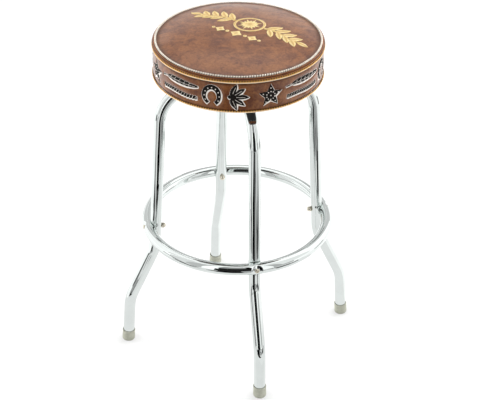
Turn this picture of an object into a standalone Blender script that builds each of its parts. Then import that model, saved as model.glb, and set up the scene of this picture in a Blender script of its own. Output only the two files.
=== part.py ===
"""Padded swivel bar stool: a round stitched seat on a chromed frame of two crossing tube hoops and a foot ring.

Units are metres and +Z is up. The origin is on the floor under the centre of the seat.
The hoops stand on the X and Y axes, and the leg on -Y is the front one.
"""

import math

import bmesh
import bpy
from mathutils import Matrix, Vector

# Gap between pieces that touch on the real stool
GAP = 0.0003
CUTTER_TURN = math.radians(7)

# Frame tube, one inch outside
TUBE_RADIUS = 0.0127
TUBE_WALL = 0.0015
TUBE_BEVEL_RESOLUTION = 3

# Line of a leg, as the radius of its centre line at a height
HOOP_TOP_HEIGHT = 0.643
SHOULDER_RADIUS = 0.1636
KNEE_RADIUS, KNEE_HEIGHT = 0.1869, 0.245
ANKLE_RADIUS, ANKLE_HEIGHT = 0.2475, 0.114
FOOT_RADIUS = 0.2554
SHOULDER_BEND, KNEE_BEND, ANKLE_BEND = 0.078, 0.100, 0.110

# Foot ring, one inch tube too
RING_RADIUS = 0.1990
RING_HEIGHT = 0.304
SADDLE_GAP, SADDLE_REACH = 0.0005, 0.03
DIMPLE_RADIUS, DIMPLE_FLOOR, DIMPLE_DEPTH = 0.0125, 0.0065, 0.003

# Flattened lap where the two hoops cross
LAP_HALF_LENGTH = TUBE_RADIUS + 0.0010
LAP_TAPER = 0.012

# Foot caps
CAP_OUTER, CAP_INNER = 0.0145, 0.0132
CAP_HEIGHT, CAP_BASE = 0.0255, 0.0045
CAP_FLOOR_ALLOWANCE = 0.0020

# Ball-bearing swivel
PLATE_SIDE, PLATE_THICK, PLATE_CORNER = 0.127, 0.002, 0.012
PLATE_HOLE_OFFSET = 0.0508
PLATE_WINDOW = 0.056
LOWER_PLATE_Z = HOOP_TOP_HEIGHT + TUBE_RADIUS + GAP
UPPER_PLATE_Z = LOWER_PLATE_Z + 0.0171
SWIVEL_MID = (LOWER_PLATE_Z + UPPER_PLATE_Z) / 2
BALL_RADIUS, BALL_TRACK, BALL_COUNT = 0.004, 0.045, 8
RACE_CLEARANCE = 0.0006
CAGE_WIDTH, CAGE_THICK = 0.013, 0.0012
RIVET_RADIUS, RIVET_HOLE, RIVET_FLANGE = 0.0075, 0.0080, 0.0140
DISH_DEPTH = 0.0035
RACE_STEPS = 24

# Seat, fourteen inches across its piping
SEAT_RADIUS = 0.1778
SEAT_TOP = 0.762
VINYL = 0.0012
DUST_COVER_Z, DUST_COVER_THICK, DUST_COVER_RADIUS = UPPER_PLATE_Z + GAP, 0.0005, 0.1625
HEM_Z = DUST_COVER_Z + DUST_COVER_THICK + GAP
HEM_INNER_RADIUS = 0.158
BAND_RADIUS, BAND_TOP, BAND_CORNER = SEAT_RADIUS - 0.0010, 0.7362, 0.0020
BOARD_Z, BOARD_THICK, BOARD_RADIUS = HEM_Z + VINYL + GAP, 0.012, BAND_RADIUS - VINYL - 0.0004
CROWN_RADIUS, CROWN_EDGE_Z, CROWN_POWER = 0.1693, 0.7490, 2.3

# Cords round the seat, each as the radius of its ring, its height and its own radius
TOP_PIPING = (SEAT_RADIUS - 0.0008, 0.7388, 0.0022)
BOTTOM_PIPING = (SEAT_RADIUS - 0.0001, 0.6733, 0.0018)
RIM_WELT = (SEAT_RADIUS - 0.0028, 0.7444, 0.0034)
EDGE_LACING = (SEAT_RADIUS - 0.0061, 0.7490, 0.0019)
SEAT_STEPS = 36

# Fasteners
BOLT_RADIUS, BOLT_HOLE = 0.0030, 0.0035
SCREW_RADIUS, SCREW_HOLE = 0.0024, 0.0030
HEX_RADIUS = 0.0064
STAPLE_COUNT, STAPLE_CIRCLE = 8, 0.1603
STAPLE_SIZE = (0.0008, 0.0100, 0.0005)

LEG_ANGLES = {"front": -math.pi / 2, "right": 0.0, "back": math.pi / 2, "left": math.pi}

FINISHES = {
    "chrome": ((0.80, 0.81, 0.82), 0.06, 1.0),
    "zinc_steel": ((0.62, 0.61, 0.58), 0.35, 1.0),
    "brown_vinyl": ((0.27, 0.12, 0.065), 0.45, 0.0),
    "gold_piping": ((0.80, 0.52, 0.20), 0.45, 0.0),
    "cream_thread": ((0.76, 0.66, 0.48), 0.80, 0.0),
    "foam": ((0.85, 0.80, 0.62), 0.95, 0.0),
    "plywood": ((0.62, 0.45, 0.27), 0.70, 0.0),
    "black_cloth": ((0.015, 0.015, 0.015), 0.95, 0.0),
    "foot_vinyl": ((0.42, 0.41, 0.33), 0.60, 0.0),
    "brass_cage": ((0.70, 0.50, 0.22), 0.40, 1.0),
}


def clear_scene():
    for obj in list(bpy.data.objects):
        bpy.data.objects.remove(obj)


def new_collection(name):
    made = bpy.data.collections.new(name)
    bpy.context.scene.collection.children.link(made)
    return made


def make_finishes():
    made = {}
    for name, (colour, roughness, metallic) in FINISHES.items():
        material = bpy.data.materials.new(name)
        material.use_nodes = True
        shader = material.node_tree.nodes["Principled BSDF"]
        shader.inputs["Base Color"].default_value = (*colour, 1.0)
        shader.inputs["Roughness"].default_value = roughness
        shader.inputs["Metallic"].default_value = metallic
        made[name] = material
    return made


clear_scene()
STOOL = new_collection("bar_stool")
CUTTERS = new_collection("cutters")
FINISH = make_finishes()


def add_object(name, mesh, finish):
    obj = bpy.data.objects.new(name, mesh)
    STOOL.objects.link(obj)
    if not mesh.materials:
        mesh.materials.append(FINISH[finish])
    return obj


def add_cutter(name, bm):
    mesh = bpy.data.meshes.new(name)
    bmesh.ops.recalc_face_normals(bm, faces=bm.faces)
    bm.to_mesh(mesh)
    bm.free()
    obj = bpy.data.objects.new(name, mesh)
    CUTTERS.objects.link(obj)
    obj.hide_render = True
    obj.display_type = "WIRE"
    return obj


def shaded_mesh(bm, name):
    bmesh.ops.recalc_face_normals(bm, faces=bm.faces)
    mesh = bpy.data.meshes.new(name)
    bm.to_mesh(mesh)
    bm.free()
    mesh.shade_smooth()
    mesh.set_sharp_from_angle(angle=math.radians(40))
    return mesh


def add_copies(mesh, frames, finish):
    """One object for each name in frames, all of one mesh, each placed by its matrix."""
    made = []
    for name, frame in frames.items():
        obj = add_object(name, mesh, finish)
        obj.matrix_world = frame
        made.append(obj)
    return made


def boolean(obj, other, operation="DIFFERENCE"):
    modifier = obj.modifiers.new(other.name, "BOOLEAN")
    modifier.object = other
    modifier.operation = operation
    modifier.solver = "EXACT"


def turned(name, profile, finish, steps=SEAT_STEPS, closed=False):
    """Turns a profile of (radius, height) points about Z; its outer side runs down."""
    mesh = bpy.data.meshes.new(name)
    edges = [(i, i + 1) for i in range(len(profile) - 1)]
    if closed:
        edges.append((len(profile) - 1, 0))
    mesh.from_pydata([(radius, 0, height) for radius, height in profile], edges, [])
    obj = add_object(name, mesh, finish)
    screw = obj.modifiers.new("turn", "SCREW")
    screw.steps = steps
    screw.render_steps = steps
    screw.use_merge_vertices = True
    screw.merge_threshold = 0.00001
    screw.use_smooth_shade = True
    return obj


def bead(name, centre, finish, sides=6):
    """A round cord that runs once round the seat; centre is (ring radius, height, cord radius)."""
    ring_radius, height, cord_radius = centre
    angles = [-2 * math.pi * i / sides for i in range(sides)]
    profile = [
        (ring_radius + cord_radius * math.cos(a), height + cord_radius * math.sin(a)) for a in angles
    ]
    return turned(name, profile, finish, closed=True)


def arc(centre, radius, start, end, count):
    """Points of an arc in the (radius, height) plane, from angle start to angle end in degrees."""
    angles = [math.radians(start + (end - start) * i / count) for i in range(count + 1)]
    return [(centre[0] + radius * math.cos(a), centre[1] + radius * math.sin(a)) for a in angles]


def section(radius, shape, count=12):
    """One ring of a fastener: a circle, or a hexagon given by the radius to its corners."""
    points = []
    for i in range(count):
        angle = 2 * math.pi * i / count
        reach = radius
        if shape == "hex" and i % 2:
            reach = radius * math.cos(math.pi / 6)
        points.append(Vector((reach * math.cos(angle), reach * math.sin(angle), 0)))
    return points


def add_stack(bm, rings, matrix, closed=False):
    """Lofts rings of (height, radius, shape) along local Z; closed joins the last ring to the first."""
    made = []
    for height, radius, shape in rings:
        points = [matrix @ (p + Vector((0, 0, height))) for p in section(radius, shape)]
        made.append([bm.verts.new(p) for p in points])
    pairs = list(zip(made, made[1:]))
    if closed:
        pairs.append((made[-1], made[0]))
    else:
        bm.faces.new(made[0])
        bm.faces.new(made[-1])
    for low, high in pairs:
        for i in range(len(low)):
            j = (i + 1) % len(low)
            bm.faces.new((low[i], low[j], high[j], high[i]))


def fasteners(name, rings, frames, finish, closed=False):
    """One fastener at each leg's place, named for the leg."""
    bm = bmesh.new()
    add_stack(bm, rings, Matrix.Identity(4), closed)
    named = {name + "_" + leg: frame for leg, frame in frames.items()}
    return add_copies(shaded_mesh(bm, name), named, finish)


def rod_cutter(name, radius, start, end, matrices):
    """Rods along local Z from start to end that drill the holes of a group of fasteners."""
    bm = bmesh.new()
    turn = Matrix.Rotation(CUTTER_TURN, 4, "Z")
    for matrix in matrices.values():
        add_stack(bm, [(start, radius, "round"), (end, radius, "round")], matrix @ turn)
    return add_cutter(name, bm)


def fillet(before, corner, after, radius, count):
    """Points of the bend of this radius at a corner of a path in the (radius, height) plane."""
    a, b, c = Vector(before), Vector(corner), Vector(after)
    to_a, to_c = (a - b).normalized(), (c - b).normalized()
    half = math.acos(max(-1.0, min(1.0, to_a.dot(to_c)))) / 2
    tangent = radius / math.tan(half)
    centre = b + (to_a + to_c).normalized() * (radius / math.sin(half))
    first, last = b + to_a * tangent - centre, b + to_c * tangent - centre
    sweep = first.angle_signed(last)
    return [centre + Matrix.Rotation(-sweep * i / count, 2) @ first for i in range(count + 1)]


def leg_radius(height):
    """Radius of the leg's centre line on its upper straight, between shoulder and knee."""
    drop = (HOOP_TOP_HEIGHT - height) / (HOOP_TOP_HEIGHT - KNEE_HEIGHT)
    return SHOULDER_RADIUS + (KNEE_RADIUS - SHOULDER_RADIUS) * drop


def half_hoop_path():
    """Centre line of half a hoop, from over the stool's axis out and down to the foot."""
    top = (0.0, HOOP_TOP_HEIGHT)
    shoulder = (SHOULDER_RADIUS, HOOP_TOP_HEIGHT)
    knee = (KNEE_RADIUS, KNEE_HEIGHT)
    ankle = (ANKLE_RADIUS, ANKLE_HEIGHT)
    foot = (FOOT_RADIUS, 0.0)
    lap = [LAP_HALF_LENGTH, LAP_HALF_LENGTH + LAP_TAPER]
    saddle = [0.0158, 0.0093, 0.0048, 0.0, -0.0048, -0.0093, -0.0158]
    points = [Vector((r, HOOP_TOP_HEIGHT)) for r in lap]
    points += fillet(top, shoulder, knee, SHOULDER_BEND, 6)
    points += [Vector((leg_radius(RING_HEIGHT + dz), RING_HEIGHT + dz)) for dz in saddle]
    points += fillet(shoulder, knee, ankle, KNEE_BEND, 2)
    points += fillet(knee, ankle, foot, ANKLE_BEND, 2)
    direction = (Vector(ankle) - Vector(foot)).normalized()
    points.append(Vector(foot) + direction * (CAP_BASE + GAP))
    return points


def saddle_limit(height):
    """Largest radius that leg metal may reach beside the foot ring: the ring's round, then a ramp."""
    reach = TUBE_RADIUS + SADDLE_GAP
    corner = reach * math.sqrt(0.5)
    offset = abs(height - RING_HEIGHT)
    if offset < corner:
        return RING_RADIUS - math.sqrt(reach**2 - offset**2)
    return RING_RADIUS - corner + (offset - corner)


def flatten_lap(co, along, side):
    """Presses the tube to half its height where the hoops cross; side is +1 for the upper hoop."""
    middle = HOOP_TOP_HEIGHT + side * GAP
    in_lap = abs(along) < LAP_HALF_LENGTH + 0.5 * LAP_TAPER
    if in_lap and (middle - co.z) * side > 0:
        co.z = middle


def dent_saddle(vertex, axis):
    """Presses the leg's outer side in where the foot ring crosses it."""
    co = vertex.co
    along = co.dot(axis)
    limit = saddle_limit(co.z)
    if abs(co.z - RING_HEIGHT) > SADDLE_REACH or math.hypot(co.x, co.y) <= limit:
        return
    sideways = co - axis * along
    sideways.z = 0
    reach = math.copysign(math.sqrt(limit**2 - sideways.length_squared), along)
    vertex.co = axis * reach + sideways + Vector((0, 0, co.z))


def tube_mesh(name, points, cyclic=False):
    """Mesh of an open-ended tube of the frame along these points."""
    curve = bpy.data.curves.new(name + "_line", "CURVE")
    curve.dimensions = "3D"
    curve.bevel_depth = TUBE_RADIUS
    curve.bevel_resolution = TUBE_BEVEL_RESOLUTION
    spline = curve.splines.new("POLY")
    spline.points.add(len(points) - 1)
    for target, point in zip(spline.points, points):
        target.co = (*point, 1.0)
    spline.use_cyclic_u = cyclic
    line = bpy.data.objects.new(name + "_line", curve)
    STOOL.objects.link(line)
    bpy.context.view_layer.update()
    graph = bpy.context.evaluated_depsgraph_get()
    mesh = bpy.data.meshes.new_from_object(line.evaluated_get(graph))
    bpy.data.objects.remove(line)
    return mesh


def hollow(obj):
    wall = obj.modifiers.new("wall", "SOLIDIFY")
    wall.thickness = TUBE_WALL
    wall.offset = -1.0
    wall.use_even_offset = False


def leg_hoop(name, axis, side, cutters):
    """One bent tube that makes two opposite legs and passes under the seat along axis."""
    half = half_hoop_path()
    across = [axis * p.x + Vector((0, 0, p.y)) for p in half]
    mirrored = [-axis * p.x + Vector((0, 0, p.y)) for p in reversed(half)]
    centre = Vector((0, 0, HOOP_TOP_HEIGHT))
    mesh = tube_mesh(name, mirrored + [centre] + across)
    for vertex in mesh.vertices:
        flatten_lap(vertex.co, vertex.co.dot(axis), side)
        dent_saddle(vertex, axis)
    mesh.shade_smooth()
    obj = add_object(name, mesh, "chrome")
    hollow(obj)
    for cutter in cutters:
        boolean(obj, cutter)
    return obj


def ring_angles():
    """Angles round the foot ring: close together at each leg, for its dimple, and even between."""
    near = [offset / RING_RADIUS for offset in (-DIMPLE_RADIUS, -0.006, 0.0, 0.006, DIMPLE_RADIUS)]
    spare = math.pi / 2 - 2 * near[-1]
    steps = 8
    quarter = near + [near[-1] + spare * i / steps for i in range(1, steps)]
    return [leg + a for leg in LEG_ANGLES.values() for a in quarter]


def dimple(offset):
    """Depth of the bolt's dimple in the ring's outer face at this distance from the bolt."""
    share = (offset - DIMPLE_FLOOR) / (DIMPLE_RADIUS - DIMPLE_FLOOR)
    share = max(0.0, min(1.0, share))
    return DIMPLE_DEPTH * (1 - share**2 * (3 - 2 * share))


def foot_ring(cutter):
    points = [
        Vector((RING_RADIUS * math.cos(a), RING_RADIUS * math.sin(a), RING_HEIGHT)) for a in ring_angles()
    ]
    mesh = tube_mesh("foot_ring", points, cyclic=True)
    for vertex in mesh.vertices:
        co = vertex.co
        outward = Vector((co.x, co.y, 0))
        if outward.length < RING_RADIUS:
            continue
        for angle in LEG_ANGLES.values():
            bolt = Vector((math.cos(angle), math.sin(angle), 0))
            if outward.dot(bolt) > 0:
                beside = Vector((0, 0, co.z - RING_HEIGHT)) + outward - bolt * outward.dot(bolt)
                vertex.co = vertex.co - bolt * dimple(beside.length)
    mesh.shade_smooth()
    obj = add_object("foot_ring", mesh, "chrome")
    hollow(obj)
    boolean(obj, cutter)
    return obj


def leg_frame(angle):
    """Matrix whose local Z points outwards along a leg's direction, at the foot ring's height."""
    turn = Matrix.Rotation(angle, 4, "Z") @ Matrix.Rotation(math.pi / 2, 4, "Y")
    return Matrix.Translation((0, 0, RING_HEIGHT)) @ turn


def foot_cap(name, angle, floor_cutter):
    """Cup on the end of a leg, on the tube's slight slope, with its underside cut level."""
    bottom = -CAP_FLOOR_ALLOWANCE
    profile = [
        (0.0, CAP_BASE),
        (CAP_INNER, CAP_BASE),
        (CAP_INNER, CAP_HEIGHT),
        (CAP_OUTER - 0.0004, CAP_HEIGHT),
        (CAP_OUTER, CAP_HEIGHT - 0.0006),
        (CAP_OUTER, 0.004),
        (CAP_OUTER - 0.0012, bottom),
        (0.0, bottom),
    ]
    obj = turned(name, profile, "foot_vinyl", steps=16)
    slope = math.atan2(FOOT_RADIUS - ANKLE_RADIUS, ANKLE_HEIGHT)
    obj.location = (FOOT_RADIUS * math.cos(angle), FOOT_RADIUS * math.sin(angle), 0)
    obj.rotation_euler = (0, -slope, angle)
    boolean(obj, floor_cutter)
    return obj


def floor_cutter():
    bm = bmesh.new()
    bmesh.ops.create_cube(bm, size=1.0)
    bmesh.ops.scale(bm, vec=(0.7, 0.7, 0.02), verts=bm.verts)
    bmesh.ops.translate(bm, vec=(0, 0, -0.01), verts=bm.verts)
    return add_cutter("floor_cutter", bm)


def race_profile(face_z, up):
    """Turned middle of a swivel plate whose outer face is at face_z; up is +1 on the lower plate."""
    track = (BALL_TRACK, (SWIVEL_MID - face_z) * up)
    shoulder = 0.0057
    groove = arc(track, BALL_RADIUS + RACE_CLEARANCE, 207, 333, 3)
    rim_low, rim_high = 0.0004, PLATE_THICK - 0.0004
    inner_side = [
        (RIVET_HOLE, DISH_DEPTH),
        (RIVET_HOLE, DISH_DEPTH + PLATE_THICK),
        (0.0200, DISH_DEPTH + PLATE_THICK),
        (0.0240, PLATE_THICK),
        (0.0360, PLATE_THICK),
        (0.0372, shoulder),
    ]
    outer_side = [
        (0.0528, shoulder),
        (0.0540, rim_high),
        (0.0600, rim_high),
        (0.0600, rim_low),
        (0.0525, rim_low),
        (0.0500, PLATE_THICK),
        (0.0400, PLATE_THICK),
        (0.0375, rim_low),
        (0.0225, rim_low),
        (0.0190, DISH_DEPTH),
    ]
    profile = [(radius, face_z + up * height) for radius, height in inner_side + groove + outer_side]
    return profile if up > 0 else profile[::-1]


def swivel_plate(name, face_z, up, hole_cutter):
    """Square steel plate with a dished centre and a pressed ball race, facing the other plate."""
    bm = bmesh.new()
    bmesh.ops.create_cube(bm, size=1.0)
    bmesh.ops.scale(bm, vec=(PLATE_SIDE, PLATE_SIDE, PLATE_THICK), verts=bm.verts)
    middle = face_z + up * PLATE_THICK / 2
    bmesh.ops.translate(bm, vec=(0, 0, middle), verts=bm.verts)
    corners = [e for e in bm.edges if abs(e.verts[0].co.z - e.verts[1].co.z) > 0.5 * PLATE_THICK]
    bmesh.ops.bevel(bm, geom=corners, offset=PLATE_CORNER, segments=3, profile=0.5, affect="EDGES")
    bmesh.ops.rotate(bm, matrix=Matrix.Rotation(math.pi / 4, 3, "Z"), verts=bm.verts)
    obj = add_object(name, shaded_mesh(bm, name), "zinc_steel")
    window = bmesh.new()
    bmesh.ops.create_cone(
        window, cap_ends=True, segments=RACE_STEPS, radius1=PLATE_WINDOW, radius2=PLATE_WINDOW, depth=0.02
    )
    bmesh.ops.translate(window, vec=(0, 0, middle), verts=window.verts)
    boolean(obj, add_cutter(name + "_window", window))
    race = turned(name + "_race", race_profile(face_z, up), "zinc_steel", RACE_STEPS, closed=True)
    STOOL.objects.unlink(race)
    CUTTERS.objects.link(race)
    race.hide_render = True
    race.display_type = "WIRE"
    boolean(obj, race, "UNION")
    boolean(obj, hole_cutter)
    return obj


def ball_frames():
    frames = {}
    for i in range(BALL_COUNT):
        angle = 2 * math.pi * i / BALL_COUNT
        place = (BALL_TRACK * math.cos(angle), BALL_TRACK * math.sin(angle), SWIVEL_MID)
        frames[f"bearing_ball_{i + 1:02d}"] = Matrix.Translation(place)
    return frames


def bearing_balls():
    bm = bmesh.new()
    bmesh.ops.create_uvsphere(bm, u_segments=8, v_segments=4, radius=BALL_RADIUS)
    return add_copies(shaded_mesh(bm, "bearing_ball"), ball_frames(), "zinc_steel")


def ball_cage():
    """Thin ring with a pocket for each ball."""
    half = CAGE_THICK / 2
    outer, inner = BALL_TRACK + CAGE_WIDTH / 2, BALL_TRACK - CAGE_WIDTH / 2
    profile = [
        (outer, SWIVEL_MID + half),
        (outer, SWIVEL_MID - half),
        (inner, SWIVEL_MID - half),
        (inner, SWIVEL_MID + half),
    ]
    obj = turned("ball_cage", profile, "brass_cage", RACE_STEPS, closed=True)
    boolean(obj, rod_cutter("pocket_cutter", BALL_RADIUS + 0.0005, -0.003, 0.003, ball_frames()))
    return obj


def crown_height(radius, lowered=0.0):
    """Height of the top panel's crown over this radius."""
    share = min(1.0, radius / CROWN_RADIUS)
    return CROWN_EDGE_Z - lowered + (SEAT_TOP - CROWN_EDGE_Z) * (1 - share**CROWN_POWER)


def crown_profile(lowered=0.0, edge=CROWN_RADIUS):
    radii = [0.0, 0.06, 0.105, 0.138, 0.157, edge]
    return [(radius, crown_height(radius, lowered)) for radius in radii]


def thicken(obj, thickness):
    """Gives a turned sheet its thickness, to the inside of its outer face."""
    sheet = obj.modifiers.new("sheet", "SOLIDIFY")
    sheet.thickness = thickness
    sheet.offset = -1.0


def seat_top_panel():
    lacing = (EDGE_LACING[0], EDGE_LACING[1])
    edge = arc(lacing, EDGE_LACING[2] + GAP, 225, 270, 1)
    obj = turned("seat_top_panel", crown_profile() + edge, "brown_vinyl")
    thicken(obj, VINYL)
    return obj


def seat_side_band():
    """Upright band of the cover, with its hem turned under the board."""
    bend = arc((BAND_RADIUS - BAND_CORNER, HEM_Z + BAND_CORNER), BAND_CORNER, 0, -90, 2)
    profile = [(BAND_RADIUS, BAND_TOP)] + bend + [(HEM_INNER_RADIUS, HEM_Z)]
    obj = turned("seat_side_band", profile, "brown_vinyl")
    thicken(obj, VINYL)
    return obj


def foam_pad():
    under_skin = VINYL + GAP
    bottom = BOARD_Z + BOARD_THICK + GAP
    shoulder = [(0.1688, 0.7448), (0.1708, 0.7430), (0.1718, 0.7400), (BOARD_RADIUS, 0.7355)]
    profile = crown_profile(under_skin, 0.1672) + shoulder + [(BOARD_RADIUS, bottom), (0.0, bottom)]
    return turned("foam_pad", profile, "foam")


def disc(name, radius, bottom, thickness, finish, cutter):
    top = bottom + thickness
    profile = [(0.0, top), (radius, top), (radius, bottom), (0.0, bottom)]
    obj = turned(name, profile, finish)
    boolean(obj, cutter)
    return obj


def cover_staples():
    """Crowns of the staples that hold the dust cover and the hem to the board."""
    bm = bmesh.new()
    bmesh.ops.create_cube(bm, size=1.0, matrix=Matrix.Diagonal((*STAPLE_SIZE, 1)))
    place = Matrix.Translation((STAPLE_CIRCLE, 0, DUST_COVER_Z - GAP - STAPLE_SIZE[2] / 2))
    turns = [2 * math.pi * (i + 0.5) / STAPLE_COUNT for i in range(STAPLE_COUNT)]
    frames = {f"cover_staple_{i + 1}": Matrix.Rotation(a, 4, "Z") @ place for i, a in enumerate(turns)}
    return add_copies(shaded_mesh(bm, "cover_staple"), frames, "zinc_steel")


def plate_corners(height):
    """The four fastener places at the plates' corners, one in line with each leg."""
    reach = PLATE_HOLE_OFFSET * math.sqrt(2)
    frames = {}
    for leg, angle in LEG_ANGLES.items():
        frames[leg] = Matrix.Translation((reach * math.cos(angle), reach * math.sin(angle), height))
    return frames


def build_seat():
    screws_at = plate_corners(UPPER_PLATE_Z - PLATE_THICK)
    screw_holes = rod_cutter("seat_screw_cutter", SCREW_HOLE, -0.003, 0.016, screws_at)
    pan_head = [
        (-0.0027, 0.0036, "round"),
        (-GAP, 0.0050, "round"),
        (-GAP, SCREW_RADIUS, "round"),
        (0.0125, SCREW_RADIUS, "round"),
        (0.0145, 0.0006, "round"),
    ]
    return [
        seat_top_panel(),
        seat_side_band(),
        bead("edge_lacing", EDGE_LACING, "cream_thread"),
        bead("rim_welt", RIM_WELT, "brown_vinyl"),
        bead("top_piping", TOP_PIPING, "gold_piping"),
        bead("bottom_piping", BOTTOM_PIPING, "gold_piping"),
        foam_pad(),
        disc("seat_board", BOARD_RADIUS, BOARD_Z, BOARD_THICK, "plywood", screw_holes),
        disc("dust_cover", DUST_COVER_RADIUS, DUST_COVER_Z, DUST_COVER_THICK, "black_cloth", screw_holes),
        *cover_staples(),
        swivel_plate("swivel_upper_plate", UPPER_PLATE_Z, -1, screw_holes),
        *fasteners("seat_screw", pan_head, screws_at, "zinc_steel"),
    ]


def build_bearing():
    return [*bearing_balls(), ball_cage()]


def swivel_rivet():
    """Hollow rivet that keeps the two plates together and that the upper plate turns on."""
    low = LOWER_PLATE_Z + DISH_DEPTH - GAP
    high = UPPER_PLATE_Z - DISH_DEPTH + GAP
    flange, bore = 0.0016, 0.0055
    profile = [
        (bore, high + flange),
        (RIVET_FLANGE, high + flange),
        (RIVET_FLANGE, high),
        (RIVET_RADIUS, high),
        (RIVET_RADIUS, low),
        (RIVET_FLANGE, low),
        (RIVET_FLANGE, low - flange),
        (bore, low - flange),
    ]
    return turned("swivel_rivet", profile, "zinc_steel", 20, closed=True)


def plate_fasteners():
    """Bolts down through the lower plate and the hoops, with nuts underneath."""
    bolts_at = plate_corners(LOWER_PLATE_Z + PLATE_THICK + GAP)
    nut_top = -(2 * TUBE_RADIUS + PLATE_THICK + 3 * GAP)
    nut_bottom = nut_top - 0.0050
    bolt = [
        (0.0040, HEX_RADIUS, "hex"),
        (0.0, HEX_RADIUS, "hex"),
        (0.0, BOLT_RADIUS, "round"),
        (nut_bottom - 0.0015, BOLT_RADIUS, "round"),
    ]
    bore = BOLT_HOLE - 0.0001
    nut = [
        (nut_top, HEX_RADIUS, "hex"),
        (nut_bottom, HEX_RADIUS, "hex"),
        (nut_bottom, bore, "round"),
        (nut_top, bore, "round"),
    ]
    holes = rod_cutter("plate_bolt_cutter", BOLT_HOLE, 0.003, nut_bottom, bolts_at)
    fasteners("plate_bolt", bolt, bolts_at, "zinc_steel")
    fasteners("plate_nut", nut, bolts_at, "zinc_steel", closed=True)
    return holes


def ring_fasteners():
    """Button-head bolts from the ring's dimples in through each leg, with cap nuts inside the legs."""
    frames = {leg: leg_frame(angle) for leg, angle in LEG_ANGLES.items()}
    seat = RING_RADIUS + TUBE_RADIUS - DIMPLE_DEPTH + GAP
    nut_face = leg_radius(RING_HEIGHT) - TUBE_RADIUS - 2 * GAP
    bolt_end = nut_face - 0.0040
    socket = 0.0020
    bolt = [
        (seat + 0.0012, socket, "hex"),
        (seat + 0.0026, socket, "hex"),
        (seat + 0.0026, 0.0032, "round"),
        (seat, 0.0052, "round"),
        (seat, BOLT_RADIUS, "round"),
        (bolt_end, BOLT_RADIUS, "round"),
    ]
    bore = BOLT_HOLE - 0.0001
    cap_nut = [
        (nut_face - 0.0090, 0.0024, "round"),
        (nut_face - 0.0072, 0.0048, "round"),
        (nut_face - 0.0045, 0.0054, "round"),
        (nut_face - 0.0045, HEX_RADIUS, "hex"),
        (nut_face, HEX_RADIUS, "hex"),
        (nut_face, bore, "round"),
        (bolt_end - 0.0008, bore, "round"),
    ]
    holes = rod_cutter("ring_bolt_cutter", BOLT_HOLE, nut_face - 0.002, seat + 0.004, frames)
    fasteners("ring_bolt", bolt, frames, "chrome")
    fasteners("ring_cap_nut", cap_nut, frames, "chrome")
    return holes


def build_frame():
    plate_holes = plate_fasteners()
    ring_holes = ring_fasteners()
    floor = floor_cutter()
    leg_hoop("leg_hoop_left_right", Vector((1, 0, 0)), 1, [plate_holes, ring_holes])
    leg_hoop("leg_hoop_front_back", Vector((0, 1, 0)), -1, [plate_holes, ring_holes])
    foot_ring(ring_holes)
    swivel_plate("swivel_lower_plate", LOWER_PLATE_Z, 1, plate_holes)
    swivel_rivet()
    for leg, angle in LEG_ANGLES.items():
        foot_cap("foot_cap_" + leg, angle, floor)


def hold(pieces, name):
    """Parents pieces to an empty on the swivel's axis, where they are."""
    pivot = bpy.data.objects.new(name, None)
    STOOL.objects.link(pivot)
    pivot.location = (0, 0, SWIVEL_MID)
    bpy.context.view_layer.update()
    for piece in pieces:
        piece.parent = pivot
        piece.matrix_parent_inverse = pivot.matrix_world.inverted()


hold(build_seat(), "seat_pivot")
hold(build_bearing(), "bearing_pivot")
build_frame()
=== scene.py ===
"""Looks of the padded swivel bar stool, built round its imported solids, in metres with +Z up."""

from math import acos, atan2, ceil, copysign, cos, exp, hypot, pi, radians, sin, sqrt, tan

import bmesh
import bpy
import numpy as np
from mathutils import Matrix, Vector
from mathutils.kdtree import KDTree


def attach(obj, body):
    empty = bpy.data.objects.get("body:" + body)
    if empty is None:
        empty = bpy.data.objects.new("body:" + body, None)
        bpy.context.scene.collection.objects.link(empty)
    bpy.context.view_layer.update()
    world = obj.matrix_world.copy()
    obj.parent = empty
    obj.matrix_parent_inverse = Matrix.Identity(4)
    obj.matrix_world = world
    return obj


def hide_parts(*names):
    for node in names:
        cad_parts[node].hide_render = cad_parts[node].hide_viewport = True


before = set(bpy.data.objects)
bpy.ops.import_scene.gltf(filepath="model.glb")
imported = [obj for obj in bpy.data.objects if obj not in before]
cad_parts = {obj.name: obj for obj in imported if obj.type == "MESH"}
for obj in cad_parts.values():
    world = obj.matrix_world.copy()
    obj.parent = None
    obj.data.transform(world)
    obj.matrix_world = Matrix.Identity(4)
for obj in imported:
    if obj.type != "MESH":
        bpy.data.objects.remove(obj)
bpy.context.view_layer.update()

TAU = 2 * pi
MM = 0.001
UP = Vector((0, 0, 1))
GAP = 0.0003
LEGS = {"front": -pi / 2, "right": 0.0, "back": pi / 2, "left": pi}

# Frame tube and the line of a leg, as the part has them
TUBE, TUBE_SIDES = 0.0127, 36
HOOP_TOP, SHOULDER = 0.643, 0.1636
KNEE, KNEE_Z = 0.1869, 0.245
ANKLE, ANKLE_Z = 0.2475, 0.114
FOOT = 0.2554
SHOULDER_BEND, KNEE_BEND, ANKLE_BEND = 0.078, 0.100, 0.110
RING, RING_Z, DIMPLE = 0.1990, 0.304, 0.003
LAP_HALF, LAP_TAPER = 0.0137, 0.0120
CAP_BASE = 0.0045

# Swivel
PLATE_SIDE, PLATE_THICK, PLATE_CORNER = 0.127, 0.002, 0.012
PLATE_HOLE = 0.0508 * sqrt(2)
PLATE_ROUND = 0.060
LOWER_PLATE_Z, UPPER_PLATE_Z = 0.6560, 0.6731
BALL, BALL_TRACK = 0.004, 0.045
DISH = 0.0035

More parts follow.
